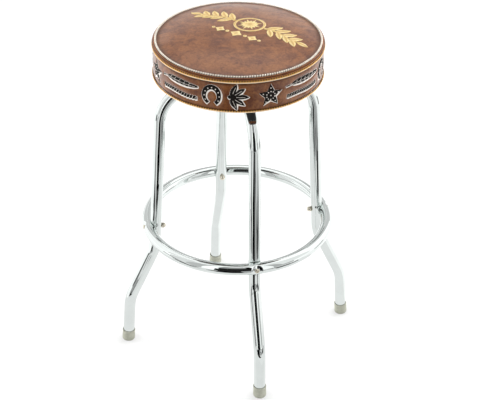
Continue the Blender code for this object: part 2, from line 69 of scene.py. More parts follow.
# Seat
SEAT_TOP = 0.762
FILL = 0.0020
PRESS_DEPTH, PRESS_RIM, PRESS_FADE = 0.00075, 0.0008, 0.0030
PRESS_ROWS, PRESS_COLS = 28, 120
CROWN, CROWN_EDGE_Z, CROWN_POWER = 0.1693, 0.7490, 2.3
BAND, BAND_TOP, HEM_Z = 0.1768, 0.7362, 0.6742
HEM_INNER, HEM_THICK, HEM_CORNER = 0.158, 0.0012, 0.0020
BOARD_TOP, BOARD_RADIUS = 0.6880, 0.1755
WELT = (0.1750, 0.7444, 0.0029)
TOP_PIPING = (0.1770, 0.7388, 0.0022)
BOTTOM_PIPING = (0.1777, 0.6733, 0.0018)
STITCHES = 208
CUSHION_STEPS = 832
COVER_Z, COVER_THICK, COVER_RADIUS = 0.6734, 0.0005, 0.1625
STAPLE_ROW, STAPLES = 0.1603, 24


# Numbers and points


def smooth(share):
    share = np.clip(share, 0.0, 1.0)
    return share * share * (3 - 2 * share)


def rise(value, start, width):
    """0 up to start, then smoothly to 1 over width."""
    return float(smooth((value - start) / width))


def fall(value, end, width):
    """1 until width before end, then smoothly to 0 at end."""
    return float(smooth((end - value) / width))


def turns(count):
    return [TAU * i / count for i in range(count)]


def at(angle, radius, height=0.0):
    return (radius * cos(angle), radius * sin(angle), height)


def ray(angle):
    return Vector(at(angle, 1.0))


def circle(radius, height, steps, corners=0):
    """Ring of points about Z; corners gives a polygon whose corners lie at radius."""
    if not corners:
        return [at(angle, radius, height) for angle in turns(steps)]
    half = pi / corners
    return [at(a, radius * cos(half) / cos(a % (2 * half) - half), height) for a in turns(steps)]


def turned(rows, base=0.0, steps=36):
    """Rings from (radius, height over base, corners) in millimetres; without corners a ring is round."""
    return [circle(max(row[0] * MM, 1e-6), base + row[1] * MM, steps, *row[2:]) for row in rows]


def soften(points):
    """Cuts the corners of an open profile twice, keeping its ends."""
    for _ in range(2):
        pairs = [(a[0], a[1], b[0], b[1], s) for a, b in zip(points, points[1:]) for s in (0.25, 0.75)]
        cut = [(a + (c - a) * s, b + (d - b) * s) for a, b, c, d, s in pairs]
        points = [points[0], *cut, points[-1]]
    return points


def tree_of(points):
    tree = KDTree(len(points))
    for i, point in enumerate(points):
        tree.insert(point, i)
    tree.balance()
    return tree


# Meshes and pieces


def loft(rings, ends=True, wear_and_shade=None, bm=None, closed=True):
    """Quads through rings of points; ends fills the first and the last ring, else they are joined.

    The wear rows give each point's darkening, partly real wear and partly painted shade, which the materials
    read. An open patch has closed=False.
    """
    bm = bm or bmesh.new()
    if wear_and_shade is not None:
        layer = bm.verts.layers.float.get("wear_and_shade") or bm.verts.layers.float.new("wear_and_shade")
    verts = [[bm.verts.new(p) for p in ring] for ring in rings]
    rows, cols = len(verts), len(verts[0])
    for i in range(rows - 1 if ends or not closed else rows):
        a, b = verts[i], verts[(i + 1) % rows]
        for j in range(cols if closed else cols - 1):
            k = (j + 1) % cols
            bm.faces.new((a[j], a[k], b[k], b[j]))
    if ends and closed:
        bm.faces.new(verts[0])
        bm.faces.new(verts[-1])
    if wear_and_shade is not None:
        for row, values in zip(verts, wear_and_shade):
            for vert, value in zip(row, values):
                vert[layer] = value
    return bm


def take_mesh(bm, name, material=None, sharp=None):
    """Turns a bmesh into a mesh that is smooth except over edges sharper than sharp degrees."""
    if sharp:
        bmesh.ops.recalc_face_normals(bm, faces=bm.faces)
    mesh = bpy.data.meshes.new(name)
    bm.to_mesh(mesh)
    bm.free()
    if sharp:
        mesh.shade_smooth()
        mesh.set_sharp_from_angle(angle=radians(sharp))
    if material:
        mesh.materials.append(material)
    return mesh


def add_object(name, data):
    obj = bpy.data.objects.new(name, data)
    bpy.context.scene.collection.objects.link(obj)
    return obj


def place_piece(name, mesh, body, nodes=(), matrix=None):
    obj = add_object(name, mesh)
    obj.matrix_world = matrix or Matrix.Identity(4)
    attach(obj, body)
    if nodes:
        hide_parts(*nodes)
    return obj


def finish(bm, name, material, body, nodes=(), sharp=50):
    bmesh.ops.remove_doubles(bm, verts=bm.verts, dist=1e-7)
    return place_piece(name, take_mesh(bm, name, material, sharp), body, nodes)


# Frame tubes


def fillet(before, corner, after, radius, count):
    """Points on the bend that rounds a corner of a line."""
    back, on = (before - corner).normalized(), (after - corner).normalized()
    half = acos(back.dot(on)) / 2
    centre = corner + (back + on).normalized() * (radius / sin(half))
    first, last = (corner + way * (radius / tan(half)) - centre for way in (back, on))
    sweep = first.angle_signed(last)
    return [centre + Matrix.Rotation(-sweep * i / count, 2) @ first for i in range(count + 1)]


def leg_radius(height):
    return SHOULDER + (KNEE - SHOULDER) * (HOOP_TOP - height) / (HOOP_TOP - KNEE_Z)


def hoop_line():
    """Centre line of half a hoop, as (radius, height) points from over the axis to the foot."""
    line = (0.0, HOOP_TOP), (SHOULDER, HOOP_TOP), (KNEE, KNEE_Z), (ANKLE, ANKLE_Z), (FOOT, 0.0)
    top, shoulder, knee, ankle, foot = map(Vector, line)
    points = [Vector((x, HOOP_TOP)) for x in [0.0013 * i for i in range(24)] + [0.055]]
    points += fillet(top, shoulder, knee, SHOULDER_BEND, 26)
    for dz in [0.15, 0.08, 0.045] + [0.030 - 0.0012 * i for i in range(51)]:
        points.append(Vector((leg_radius(RING_Z + dz), RING_Z + dz)))
    points += fillet(shoulder, knee, ankle, KNEE_BEND, 14) + fillet(knee, ankle, foot, ANKLE_BEND, 14)
    return points + [foot + (ankle - foot).normalized() * (CAP_BASE + GAP)]


def saddle_limit(height):
    """Largest radius for leg metal beside the foot ring: the ring's round, then a ramp."""
    reach = TUBE + 0.0005
    corner = reach * sqrt(0.5)
    beside = abs(height - RING_Z)
    if beside < corner:
        return RING - sqrt(reach**2 - beside**2)
    return RING - 2 * corner + beside


def soft_min(a, b, blend):
    share = max(blend - abs(a - b), 0.0) / blend
    return min(a, b) - share * share * blend / 4


def press_lap(point, axis, side):
    """Flattens the side of the tube that faces the other hoop where they cross."""
    middle = HOOP_TOP + side * GAP
    share = fall(abs(point.dot(axis)), LAP_HALF + LAP_TAPER, LAP_TAPER)
    if share > 0 and (middle - point.z) * side > 0:
        point.z += share * (middle - point.z)


def press_saddle(point, axis):
    """Dents the outer side of the leg round the foot ring, and swells its sides a little."""
    if abs(point.z - RING_Z) > 0.03:
        return point
    limit = saddle_limit(point.z)
    depth = max(0.0, leg_radius(point.z) + TUBE - limit)
    along = point.dot(axis)
    sideways = point - UP * point.z - axis * along
    sideways *= 1 + 0.07 * rise(depth, 0.0, 0.010)
    radius = soft_min(hypot(along, sideways.length), limit, 0.0022)
    along = copysign(sqrt(max(radius**2 - sideways.length_squared, 0.0)), along)
    return axis * along + sideways + UP * point.z


def leg_hoop(name, axis, side, material):
    half = hoop_line()
    line = [Vector((-p.x, p.y)) for p in half[:0:-1]] + half
    across = UP.cross(axis)
    rings = []
    for before, centre, after in zip([line[0], *line], line, [*line[1:], line[-1]]):
        tangent = (after - before).normalized()
        normal = axis * -tangent.y + UP * tangent.x
        middle = axis * centre.x + UP * centre.y
        ring = []
        for angle in turns(TUBE_SIDES):
            point = middle + TUBE * (normal * cos(angle) + across * sin(angle))
            press_lap(point, axis, side)
            ring.append(press_saddle(point, axis))
        rings.append(ring)
    finish(loft(rings), name + "_tube", material, "frame", [name])


def foot_ring(material):
    """A ring whose outer face is pressed in round each bolt, with more points near the bolts."""
    near = [0.0011 * i / RING for i in range(-14, 15)]
    spare = pi / 2 - 2 * near[-1]
    quarter = near + [near[-1] + spare * i / 30 for i in range(1, 30)]
    rings = []
    for leg in LEGS.values():
        bolt = ray(leg)
        for share in quarter:
            outward = ray(leg + share)
            ring = []
            for angle in turns(TUBE_SIDES):
                point = outward * (RING + TUBE * cos(angle)) + UP * (RING_Z + TUBE * sin(angle))
                if cos(angle) > 0 and outward.dot(bolt) > 0.9:
                    beside = point - bolt * point.dot(bolt) - UP * RING_Z
                    point -= bolt * (DIMPLE * fall(beside.length, 0.0130, 0.0072))
                ring.append(point)
            rings.append(ring)
    finish(loft(rings, False), "foot_ring_tube", material, "frame", ["foot_ring"])


# Fasteners


def leg_frames():
    """Local Z outwards along each leg's direction, at the foot ring's height."""
    lift = Matrix.Translation((0, 0, RING_Z))
    out = Matrix.Rotation(pi / 2, 4, "Y")
    return {leg: lift @ Matrix.Rotation(a, 4, "Z") @ out for leg, a in LEGS.items()}


def plate_frames(height):
    return {leg: Matrix.Translation(at(a, PLATE_HOLE, height)) for leg, a in LEGS.items()}


def fasteners(kind, rings, frames, material, body="frame", ends=True):
    """One mesh, placed at each leg instead of its node."""
    mesh = take_mesh(loft(rings, ends), kind, material, 35)
    for leg, matrix in frames.items():
        place_piece(f"{kind}_{leg}_piece", mesh, body, [f"{kind}_{leg}"], matrix)


def ring_fasteners(material):
    """Button-head bolts with hex sockets in the ring's dimples, and domed nuts inside the legs."""
    seat = RING + TUBE - DIMPLE + GAP
    face = leg_radius(RING_Z) - TUBE - 2 * GAP
    bolt = [(5.2, 0), (5.35, 0.4), (5.1, 1.2), (4.4, 2.0), (3.4, 2.5), (2.5, 2.65)]
    bolt += [(2.2, 2.5, 6), (2.1, 1.0, 6), (0.4, 0.8)]
    rings = turned([(3.0, -4.0)], face) + turned([(3.0, 0), *bolt], seat)
    fasteners("ring_bolt", rings, leg_frames(), material)
    nut = [(6.0, 0), (6.3, -0.3, 6), (6.4, -0.6, 6), (6.4, -3.9, 6), (5.9, -4.4), (5.3, -4.7)]
    nut += [(5.3 * cos(a), -4.7 - 4.3 * sin(a)) for a in np.linspace(0, pi / 2, 10)[1:-1]]
    fasteners("ring_cap_nut", turned(nut, face), leg_frames(), material)


def thread(radius, start, end, pitch=0.8):
    """Ridged (radius, height) profile of a threaded end, running from start to end."""
    count = max(2, round(abs(end - start) / pitch))
    step = (end - start) / count
    points = []
    for i in range(count):
        points += [(radius, start + step * i), (radius - 0.35, start + step * (i + 0.5))]
    return points + [(radius - 0.6, end)]


def plate_fasteners(material):
    """Hex bolts on the lower plate and their nuts under the hoops."""
    frames = plate_frames(LOWER_PLATE_Z + PLATE_THICK + GAP)
    nut_top = -(2 * TUBE + PLATE_THICK + 3 * GAP)
    head = [(3.0, 0), (6.2, 0, 6), (6.4, 0.3, 6), (6.4, 3.3, 6), (5.8, 4.0), (2.0, 3.8)]
    rings = turned([*thread(3.0, -5.0, -6.6)[::-1], (3.0, -5.0)], nut_top) + turned(head)
    fasteners("plate_bolt", rings, frames, material)
    nut = [(3.4, 0), (6.0, 0), (6.4, -0.5, 6), (6.4, -4.5, 6), (6.0, -5.0), (4.0, -5.0), (3.2, -4.6)]
    fasteners("plate_nut", turned(nut, nut_top), frames, material, ends=False)


def seat_screws(material):
    """Pan-head screws with a cross recess, up through the upper plate into the board."""
    steps, arm, reach = 48, 0.6 * MM, 2.6 * MM
    rings = []
    for radius in (0, 0.6, 1.1, 1.6, 2.1, 2.6, 3.1, 3.6, 4.2, 4.7, 5.0):
        dome = 2.7 * MM * sqrt(1 - (radius / 5.3) ** 4)
        ring = []
        for x, y, _ in circle(max(radius * MM, 1e-6), 0.0, steps):
            cut = max(min(arm - abs(x), reach - abs(y)), min(arm - abs(y), reach - abs(x)))
            ring.append((x, y, 1.4 * MM * rise(cut, -0.15 * MM, 0.3 * MM) - GAP - dome))
        rings.append(ring)
    rings += turned([(5.0, 0), (2.4, 0)], -GAP, steps)
    rings += turned([*thread(2.4, 0, 12.5, 1.4), (0.4, 14.5)], 0.0, steps)
    fasteners("seat_screw", rings, plate_frames(UPPER_PLATE_Z - PLATE_THICK), material, "seat")


# Swivel


def square_reach(angle):
    """Distance from the axis to the plates' rounded square edge, whose corners point at the legs."""
    half, corner = PLATE_SIDE / 2, PLATE_CORNER
    x, y = abs(cos(angle - pi / 4)), abs(sin(angle - pi / 4))
    reach = half / max(x, y)
    if min(x, y) * reach > half - corner:
        inner = (half - corner) * (x + y)
        reach = inner + sqrt(inner**2 - 2 * (half - corner) ** 2 + corner**2)
    return reach


def swivel_plate(name, face_z, up, body, material):
    """Pressed plate: dished centre, raised ball race and square rim; up is +1 on the lower one.

    The profiles are in millimetres, and the rim's radius is a share of the way to its edge.
    """
    inner = [(8.2, 3.5), (8.2, 5.5), (19.5, 5.5), (24.0, 2.0), (35.5, 2.0), (37.6, 5.7), (40.9, 5.3)]
    inner += [(42.4, 4.7), (45.0, 3.9), (47.6, 4.7), (49.1, 5.3), (52.4, 5.7), (54.5, 2.0), (60.0, 2.0)]
    rim = [(0.35, 2.0), (0.75, 2.0), (0.994, 2.0), (1.0, 1.6), (1.0, 0.4), (0.994, 0), (0.75, 0), (0.35, 0)]
    outer = [(60.0, 0), (52.5, 0), (49.8, 2.4), (40.2, 2.4), (37.5, 0), (22.8, 0), (19.0, 3.5), (8.2, 3.5)]
    steps = 144

    def race(rows):
        return turned([(r, up * h) for r, h in rows], face_z, steps)

    rings = race(soften(inner))
    for share, height in rim:
        z = face_z + up * height * MM
        rings.append([at(a, PLATE_ROUND + share * (square_reach(a) - PLATE_ROUND), z) for a in turns(steps)])
    rings += race(soften(outer)[:-1])
    finish(loft(rings, False), name + "_pressing", material, body, [name])


def swivel_rivet(material):
    half = [(5.5, 0.96), (6.5, 1.6), (12.8, 1.6), (14.0, 0.7), (14.0, 0), (7.5, 0)]
    rings = turned(half, UPPER_PLATE_Z - DISH + GAP, 64)
    rings += turned([(r, -h) for r, h in half[::-1]], LOWER_PLATE_Z + DISH - GAP, 64)
    finish(loft(rings, False), "swivel_rivet_turned", material, "frame", ["swivel_rivet"])


def bearing_balls(material):
    bm = bmesh.new()
    bmesh.ops.create_uvsphere(bm, u_segments=32, v_segments=20, radius=BALL)
    mesh = take_mesh(bm, "bearing_ball", material, 35)
    for i, angle in enumerate(turns(8)):
        node_name = f"bearing_ball_{i + 1:02d}"
        place = Matrix.Translation(at(angle, BALL_TRACK, (LOWER_PLATE_Z + UPPER_PLATE_Z) / 2))
        place_piece(node_name + "_polished", mesh, "bearing", [node_name], place)


def foot_caps(material):
    """Moulded cups with a rolled lip, on the slope of the tube and cut level underneath."""
    profile = [(0, 6.0), (12.6, 6.0), (12.9, 24.5), (13.2, 25.4), (13.8, 25.7), (14.3, 25.2), (14.4, 24.2)]
    profile += [(14.15, 23.6), (14.2, 18.0), (14.4, 9.0), (14.5, 4.0), (14.4, 1.8), (13.9, 0.4)]
    profile += [(13.0, -1.6), (0, -1.6)]
    slope = Matrix.Rotation(-atan2(FOOT - ANKLE, ANKLE_Z), 4, "Y")
    for leg, angle in LEGS.items():
        matrix = Matrix.Translation(at(angle, FOOT)) @ Matrix.Rotation(angle, 4, "Z") @ slope
        rings = [[matrix @ Vector(p) for p in ring] for ring in turned(profile, steps=56)]
        for point in sum(rings, []):
            point.z = max(point.z, 0.0)
        finish(loft(rings), f"foot_cap_{leg}_moulded", material, "frame", [f"foot_cap_{leg}"])


# Seat


def crown_start(radius):
    """Crown of the cover before its foam fills it out."""
    share = min(1.0, radius / CROWN)
    return CROWN_EDGE_Z + (SEAT_TOP - FILL - CROWN_EDGE_Z) * (1 - share**CROWN_POWER)


def cover_blank():
    """Closed cover with even cells and its seams and underside held, for the simulation."""
    profile = [(1e-6, HEM_Z), (0.12, HEM_Z), (BAND - 0.004, HEM_Z), (BAND, HEM_Z + 0.004)]
    profile += [(BAND, BAND_TOP), (0.1712, 0.7462)]
    profile += [(max(r, 1e-6), crown_start(r)) for r in np.linspace(CROWN, 0.0, 20)]
    bm = loft([circle(radius, height, 96) for radius, height in profile])
    bmesh.ops.recalc_face_normals(bm, faces=bm.faces)
    blank = add_object("cover_blank", take_mesh(bm, "cover_blank"))
    even = blank.modifiers.new("even", "REMESH")
    even.mode = "VOXEL"
    even.voxel_size = 0.005
    bpy.context.view_layer.update()
    graph = bpy.context.evaluated_depsgraph_get()
    blank.data = bpy.data.meshes.new_from_object(blank.evaluated_get(graph))
    blank.modifiers.clear()
    held = blank.vertex_groups.new(name="held")
    for vert in blank.data.vertices:
        x, y, z = vert.co
        if z < HEM_Z + 0.004 or (z > BAND_TOP and hypot(x, y) > CROWN - 0.0003):
            held.add([vert.index], 1.0, "REPLACE")
    return blank


def points_of(mesh):
    points = np.empty(len(mesh.vertices) * 3, np.float32)
    mesh.vertices.foreach_get("co", points)
    return points.reshape(-1, 3).astype(float)


def fill_cover(last_frame=20):
    """Presses the cover out by a cloth simulation; gives the crown's rise by radius and angle."""
    radii = np.linspace(0.0, CROWN, PRESS_ROWS)
    blank = cover_blank()
    before = points_of(blank.data)
    modifier = blank.modifiers.new("fill", "CLOTH")
    cloth = modifier.settings
    cloth.quality = 6
    cloth.tension_stiffness = cloth.compression_stiffness = cloth.shear_stiffness = 15
    cloth.use_pressure = True
    cloth.uniform_pressure_force = 4.0
    cloth.vertex_group_mass = "held"
    cloth.effector_weights.gravity = 0
    modifier.collision_settings.use_collision = False
    modifier.point_cache.frame_start, modifier.point_cache.frame_end = 1, last_frame
    for frame_number in range(1, last_frame + 1):
        bpy.context.scene.frame_set(frame_number)
    pressed = blank.evaluated_get(bpy.context.evaluated_depsgraph_get())
    lifted = np.clip(points_of(pressed.to_mesh())[:, 2] - before[:, 2], -FILL, FILL)
    pressed.to_mesh_clear()
    bpy.data.objects.remove(blank)
    bpy.context.scene.frame_set(1)
    tree = tree_of(before)
    table = np.empty((PRESS_ROWS, PRESS_COLS))
    for i, radius in enumerate(radii):
        for j, angle in enumerate(turns(PRESS_COLS)):
            near = tree.find_n(at(angle, radius, crown_start(radius)), 8)
            weights = np.array([1 / (distance**2 + 1e-6) for _, _, distance in near])
            table[i, j] = np.average([lifted[index] for _, index, _ in near], weights=weights)
    table[-1] = 0.0
    return (np.roll(table, 1, 1) + 2 * table + np.roll(table, -1, 1)) / 4


def crown_height(radius, angle):
    """Crown of the filled top, with the slight unevenness of foam under a drawn cover."""
    share = min(1.0, radius / CROWN)
    row, column = share * (PRESS_ROWS - 1), angle / TAU % 1.0 * PRESS_COLS
    i, j = min(int(row), PRESS_ROWS - 2), int(column) % PRESS_COLS
    u, v = row - i, column - int(column)
    pair = PRESSED[i : i + 2, j] * (1 - v) + PRESSED[i : i + 2, (j + 1) % PRESS_COLS] * v
    uneven = 0.0004 * sin(3 * angle + 0.7) * sin(22 * radius + 0.4)
    uneven *= fall(radius, CROWN, 0.03) * rise(radius, 0.0, 0.05)
    return crown_start(radius) + float(pair[0] * (1 - u) + pair[1] * u) + uneven


def band_radius(height, angle):
    """The band swells a little between its two seams, and is drawn in at their stitches."""
    seam = min(height - HEM_Z, BAND_TOP - height)
    swell = 0.0007 * sin(pi * min(1.0, max(0.0, seam / (BAND_TOP - HEM_Z))))
    uneven = 0.0003 * sin(7 * angle + 1.3 + 40 * height) * rise(seam, 0.0, 0.02)
    pucker = 0.00022 * exp(-((seam / 0.005) ** 2)) * cos(STITCHES / 2 * angle)
    return BAND + swell + uneven + pucker


def top_surface(x, y, lift):
    return (x, y, crown_height(hypot(x, y), atan2(y, x)) + lift)


def band_surface(around, height, lift):
    angle = around / BAND
    return at(angle, band_radius(height, angle) + lift, height)


def cushion_profile():
    """(radius, height, darkening) from the pocket for the board, round the hem and band, to the crown. The
    darkening is painted shade in the creases at the hem, under the welt and between the lacing stitches, partly
    also wear along the band's seams; the band is a little darker all round, and the top darker towards its edge.
    """
    points = [(0.0, BOARD_TOP, 0), (0.08, BOARD_TOP, 0), (BOARD_RADIUS, BOARD_TOP, 0)]
    points += [(BOARD_RADIUS, HEM_Z + HEM_THICK, 0), (HEM_INNER + 0.0004, HEM_Z + HEM_THICK, 0.6)]
    points += [(HEM_INNER, HEM_Z + 0.0006, 1.0), (HEM_INNER + 0.0004, HEM_Z, 1.0), (0.1665, HEM_Z, 0.5)]
    for lean in np.linspace(0, pi / 2, 5):
        radius = BAND - HEM_CORNER * (1 - sin(lean))
        points.append((radius, HEM_Z + HEM_CORNER * (1 - cos(lean)), 0.9))
    low, high = HEM_Z + HEM_CORNER, BAND_TOP
    for i in range(1, 46):
        height = low + (high - low) * i / 46
        # Darker near the band's two seams: partly wear, partly painted shade.
        rub_and_shade = 0.25 * fall(height, low + 0.005, 0.005) + 0.55 * rise(height, high - 0.007, 0.007)
        points.append((BAND, height, 0.2 + rub_and_shade))
    # Painted shade in the crease under the welt and the piping, and between the lacing stitches at the crown's
    # edge.
    points += [(BAND - 0.0001, BAND_TOP, 0.8), (0.1760, 0.7371, 1.0), (0.1749, 0.7388, 1.0)]
    points += [(0.1738, 0.7404, 1.0), (0.1725, 0.7420, 1.0), (0.1717, 0.7444, 1.0), (0.1712, 0.7462, 1.0)]
    points += [(0.1704, 0.7474, 1.0), (0.1699, 0.7482, 0.9), (CROWN, CROWN_EDGE_Z, 0.75)]
    for radius in (168.2, 166.8, 165, 162, 158, 152, 144, 134, 122, 108):
        points.append((radius * MM, SEAT_TOP, 0.6 * rise(radius * MM, CROWN - 0.012, 0.012)))
    flat = (100, 92, 84, 75, 66, 58, 49, 40, 31, 22, 13, 5, 0)
    return points + [(radius * MM, SEAT_TOP, 0.0) for radius in flat]


def filled(grid, gap=0.0008):
    """Points all over a patch, no further apart than gap."""
    for axis in (0, 1):
        step = np.linalg.norm(np.diff(grid, axis=axis), axis=-1).max()
        count = max(1, ceil(step / gap))
        shares = np.arange(count * (grid.shape[axis] - 1) + 1) / count
        low = np.minimum(shares.astype(int), grid.shape[axis] - 2)
        part = (shares - low).reshape((-1, 1, 1) if axis == 0 else (1, -1, 1))
        grid = np.take(grid, low, axis) * (1 - part) + np.take(grid, low + 1, axis) * part
    return grid.reshape(-1, 2)


def seat_cushion(material, pressed):
    """Crowned closed form of the cover over its foam; pressed holds the figures' places on the band."""
    tree = tree_of([(around, height, 0) for around, height in pressed])
    rings, wear_and_shade_rows = [], []
    for radius, height, wear_and_shade in cushion_profile():
        ring = []
        for angle in turns(CUSHION_STEPS):
            out, z = radius, height
            if height == SEAT_TOP:
                pucker = 0.00018 * exp(-(((CROWN - radius) / 0.006) ** 2))
                z = crown_height(radius, angle) + pucker * cos(STITCHES * angle)
            elif radius == BAND:
                around = BAND * angle
                near = min(tree.find((a, z, 0))[2] for a in (around, around - TAU * BAND))
                out = band_radius(z, angle) - PRESS_DEPTH * fall(near, PRESS_RIM + PRESS_FADE, PRESS_FADE)
            ring.append(at(angle, max(out, 1e-6), z))
        rings.append(ring)
        wear_and_shade_rows.append([wear_and_shade] * CUSHION_STEPS)
    nodes = ["seat_top_panel", "seat_side_band", "foam_pad"]
    bm = loft(rings, wear_and_shade=wear_and_shade_rows)
    finish(bm, "seat_cushion", material, "seat", nodes, 75)


def cord(name, centre, material, slot, node_name, ripple, crease, shade_from=None, groove=None, lip=0.0):
    """A cord round the seat, with painted shade past its two crease angles and in its groove.

    Given the angle where painted shade on its upper side starts, it is a piping that stitches draw in, with
    painted shade in their dents; lip is the height of the sewn flange that stands up over it, as a share of its
    radius.
    """
    ring_radius, height, radius = centre
    rings, wear_and_shade_rows = [], []
    for angle in turns(STITCHES * 4):
        drawn = float(smooth(0.42 - 0.8 * cos(STITCHES * angle)))
        ring, row = [], []
        for turn in turns(36):
            lean = (turn + pi / 2) % TAU - pi / 2
            upper = max(0.0, cos(lean - 1.35)) ** 4
            # Painted shade past the crease angles, where the cord tucks against its neighbours.
            wear_and_shade = max(fall(lean, crease[0], 0.3), rise(lean, crease[1], 0.3))
            reach = radius * (1 - ripple * drawn * upper + lip * exp(-(((lean - 1.38) / 0.34) ** 2)))
            if shade_from is not None:
                # Painted shade: dark in the stitch dents, and a deeper colour over the upper side.
                wear_and_shade = max(wear_and_shade, 2.2 * drawn * upper, 0.4 * rise(lean, shade_from, 0.35))
            if groove is not None:
                # The groove is cut in and darkened as painted shade.
                cut = fall(abs(lean - groove), 0.60, 0.30)
                wear_and_shade = max(wear_and_shade, cut)
                reach -= 0.0008 * cut
            ring.append(at(angle, ring_radius + reach * cos(turn), height + reach * sin(turn)))
            row.append(min(1.0, wear_and_shade))
        rings.append(ring)
        wear_and_shade_rows.append(row)
    finish(loft(rings, False, wear_and_shade_rows), name, material, "seat", [node_name])


def add_stitch(bm, middle, along, up, length, radius, twist=2.2):
    """One stitch of three-ply thread: a bowed, twisted bar with rounded ends."""
    side = along.cross(up)
    rings = []
    for i in range(9):
        share = i / 8
        part = 2 * share - 1
        body = radius * (sqrt(1 - abs(part) ** 5) * 0.92 + 0.08)
        centre = middle + along * (part / 2 * length) - up * (radius * 1.1 * part**4)
        ring = []
        for angle in turns(12):
            ply = 0.86 + 0.14 * abs(cos(1.5 * angle + twist * share * pi))
            ring.append(centre + body * ply * (side * cos(angle) + up * sin(angle)))
        rings.append(ring)
    loft(rings, bm=bm)


def stitch_ring(name, centre, tilt, size, slant, material, slot, nodes=()):
    """Stitches side by side round the seat; tilt leans their outer face from up towards outwards."""
    ring_radius, height = centre
    length, radius = size
    bm = bmesh.new()
    for i in range(STITCHES):
        angle = TAU * (i + 0.5) / STITCHES
        outward = ray(angle)
        up = UP * cos(tilt) + outward * sin(tilt)
        along = Matrix.Rotation(slant + 0.06 * sin(12.9898 * i), 3, up) @ UP.cross(outward)
        middle = outward * ring_radius + UP * height
        add_stitch(bm, middle, along, up, length * (1 + 0.05 * sin(7.31 * i)), radius)
    finish(bm, name, material, "seat", nodes)


def dust_cover(material):
    """Thin cloth pulled tight by its staples, with faint creases towards them."""
    steps = 192
    rings = []
    for radius in (0.0, 0.03, 0.06, 0.085, 0.10, 0.115, 0.13, 0.142, 0.150, 0.156, STAPLE_ROW, COVER_RADIUS):
        share = rise(radius, 0.085, 0.05)
        ring = []
        for x, y, _ in circle(max(radius, 1e-6), 0.0, steps):
            angle = atan2(y, x)
            crease = 0.00022 * share * cos(STAPLES * angle - pi)
            sag = 0.0003 * share * sin(5 * angle + 18 * radius) if radius < 0.15 else 0
            ring.append((x, y, COVER_Z + crease - sag))
        rings.append(ring)
    rings += [[(x, y, COVER_Z + COVER_THICK) for x, y, _ in ring] for ring in reversed(rings)]
    finish(loft(rings), "dust_cover_cloth", material, "seat", ["dust_cover"], 80)


def cover_staples(material):
    """A row of wire staples whose crowns press the cloth and the hem to the board."""
    bend = [(-5.0, 0.7), (-5.0, 0), (-4.6, -0.5), (4.6, -0.5), (5.0, 0), (5.0, 0.7)]
    bm = bmesh.new()
    for i in range(STAPLES):
        turn = Matrix.Rotation(radians(7.5) + TAU * i / STAPLES, 4, "Z")
        lean = 0.05 * sin(5.7 * i)
        rings = []
        for across, z in bend:
            out, down = STAPLE_ROW + lean * across * MM, COVER_Z + z * MM
            wire = [(out + 0.0004 * cos(a), across * MM, down + 0.00025 * sin(a)) for a in turns(8)]
            rings.append([turn @ Vector(p) for p in wire])
        loft(rings, bm=bm)
    nodes = [f"cover_staple_{i + 1}" for i in range(8)]
    finish(bm, "cover_staple_row", material, "seat", nodes)


# Ornament, drawn as flat patches that are laid on the crown or round the band


def stroke(points, widths, grow=0.0, closed=False):
    """A band of varying half-width along a line of points."""
    points = np.array(points, float)
    widths = np.broadcast_to(np.array(widths, float), len(points)) + grow
    if closed:
        tangent = np.roll(points, -1, 0) - np.roll(points, 1, 0)
    else:
        tangent = np.gradient(points, axis=0)
    tangent /= np.linalg.norm(tangent, axis=1)[:, None]
    if not closed:
        points[0] -= tangent[0] * grow
        points[-1] += tangent[-1] * grow
    normal = np.stack([-tangent[:, 1], tangent[:, 0]], 1)
    across = np.linspace(-1, 1, 5)
    grid = points[:, None] + normal[:, None] * (widths[:, None] * across)[..., None]
    return grid, np.abs(across), closed


def directions(count):
    angles = np.array(turns(count))
    return np.stack([np.cos(angles), np.sin(angles)], 1)


def burst(centre, reach, grow=0.0):
    """A closed figure round a centre; reach gives its radius at an angle."""
    edge = np.array([reach(angle) + grow for angle in turns(120)])
    shares = np.array([0.02, 0.35, 0.68, 1.0])
    grid = np.array(centre) + directions(120)[:, None] * (edge[:, None] * shares)[..., None]
    return grid, shares, True


def dot(centre, radius, grow):
    return burst(centre, lambda angle: radius, grow)


def star(centre, points, outer, inner, grow, short=None):
    """A star with straight sides; short is the reach of every other point."""
    step = TAU / points
    bx, by = inner * cos(step / 2), inner * sin(step / 2)

    def reach(angle):
        place = (angle - pi / 2) / step
        tip = outer if short is None or round(place) % 2 == 0 else short
        away = abs(place - round(place)) * step
        return tip * by / (cos(away) * by - sin(away) * (bx - tip))

    return burst(centre, reach, grow)


def bezier(a, b, c, d, count):
    t = np.linspace(0, 1, count)[:, None]
    a, b, c, d = (np.array(p, float) for p in (a, b, c, d))
    return a * (1 - t) ** 3 + 3 * b * t * (1 - t) ** 2 + 3 * c * t**2 * (1 - t) + d * t**3


def leaf(base, angle, length, half, bend, grow):
    """A pointed leaf that grows from base and bends to one side."""
    along = np.array([cos(angle), sin(angle)]) * length
    base = np.array(base, float)
    tip = base + along + np.array([-along[1], along[0]]) * bend
    line = bezier(base, base + along * 0.35, base + along * 0.75, tip, 15)
    share = np.linspace(0, 1, 15)
    return stroke(line, half * np.sin(pi * share**0.8) ** 0.8 + 0.00012, grow)


def spray(side, grow):
    """One half of the crown's ornament: a waving stem with paired leaves."""
    line = bezier((0.036, 0.0), (0.066, 0.014), (0.092, -0.016), (0.118, -0.005), 40)
    patches = [stroke(line, 0.0030 - 0.0008 * np.linspace(0, 1, 40), grow)]
    for i in range(4):
        base = line[2 + 9 * i]
        size, angle = 0.0350 - 0.0018 * i, 0.05 * i
        patches.append(leaf(base, 0.78 - angle, size, 0.0068, 0.10, grow))
        patches.append(leaf(base + (0.005, 0), -0.82 + angle, size * 0.92, 0.0064, -0.10, grow))
    patches.append(leaf(line[-1], -0.05, 0.026, 0.0060, 0.0, grow))
    return [(grid * (side, 1), across, wrap) for grid, across, wrap in patches]


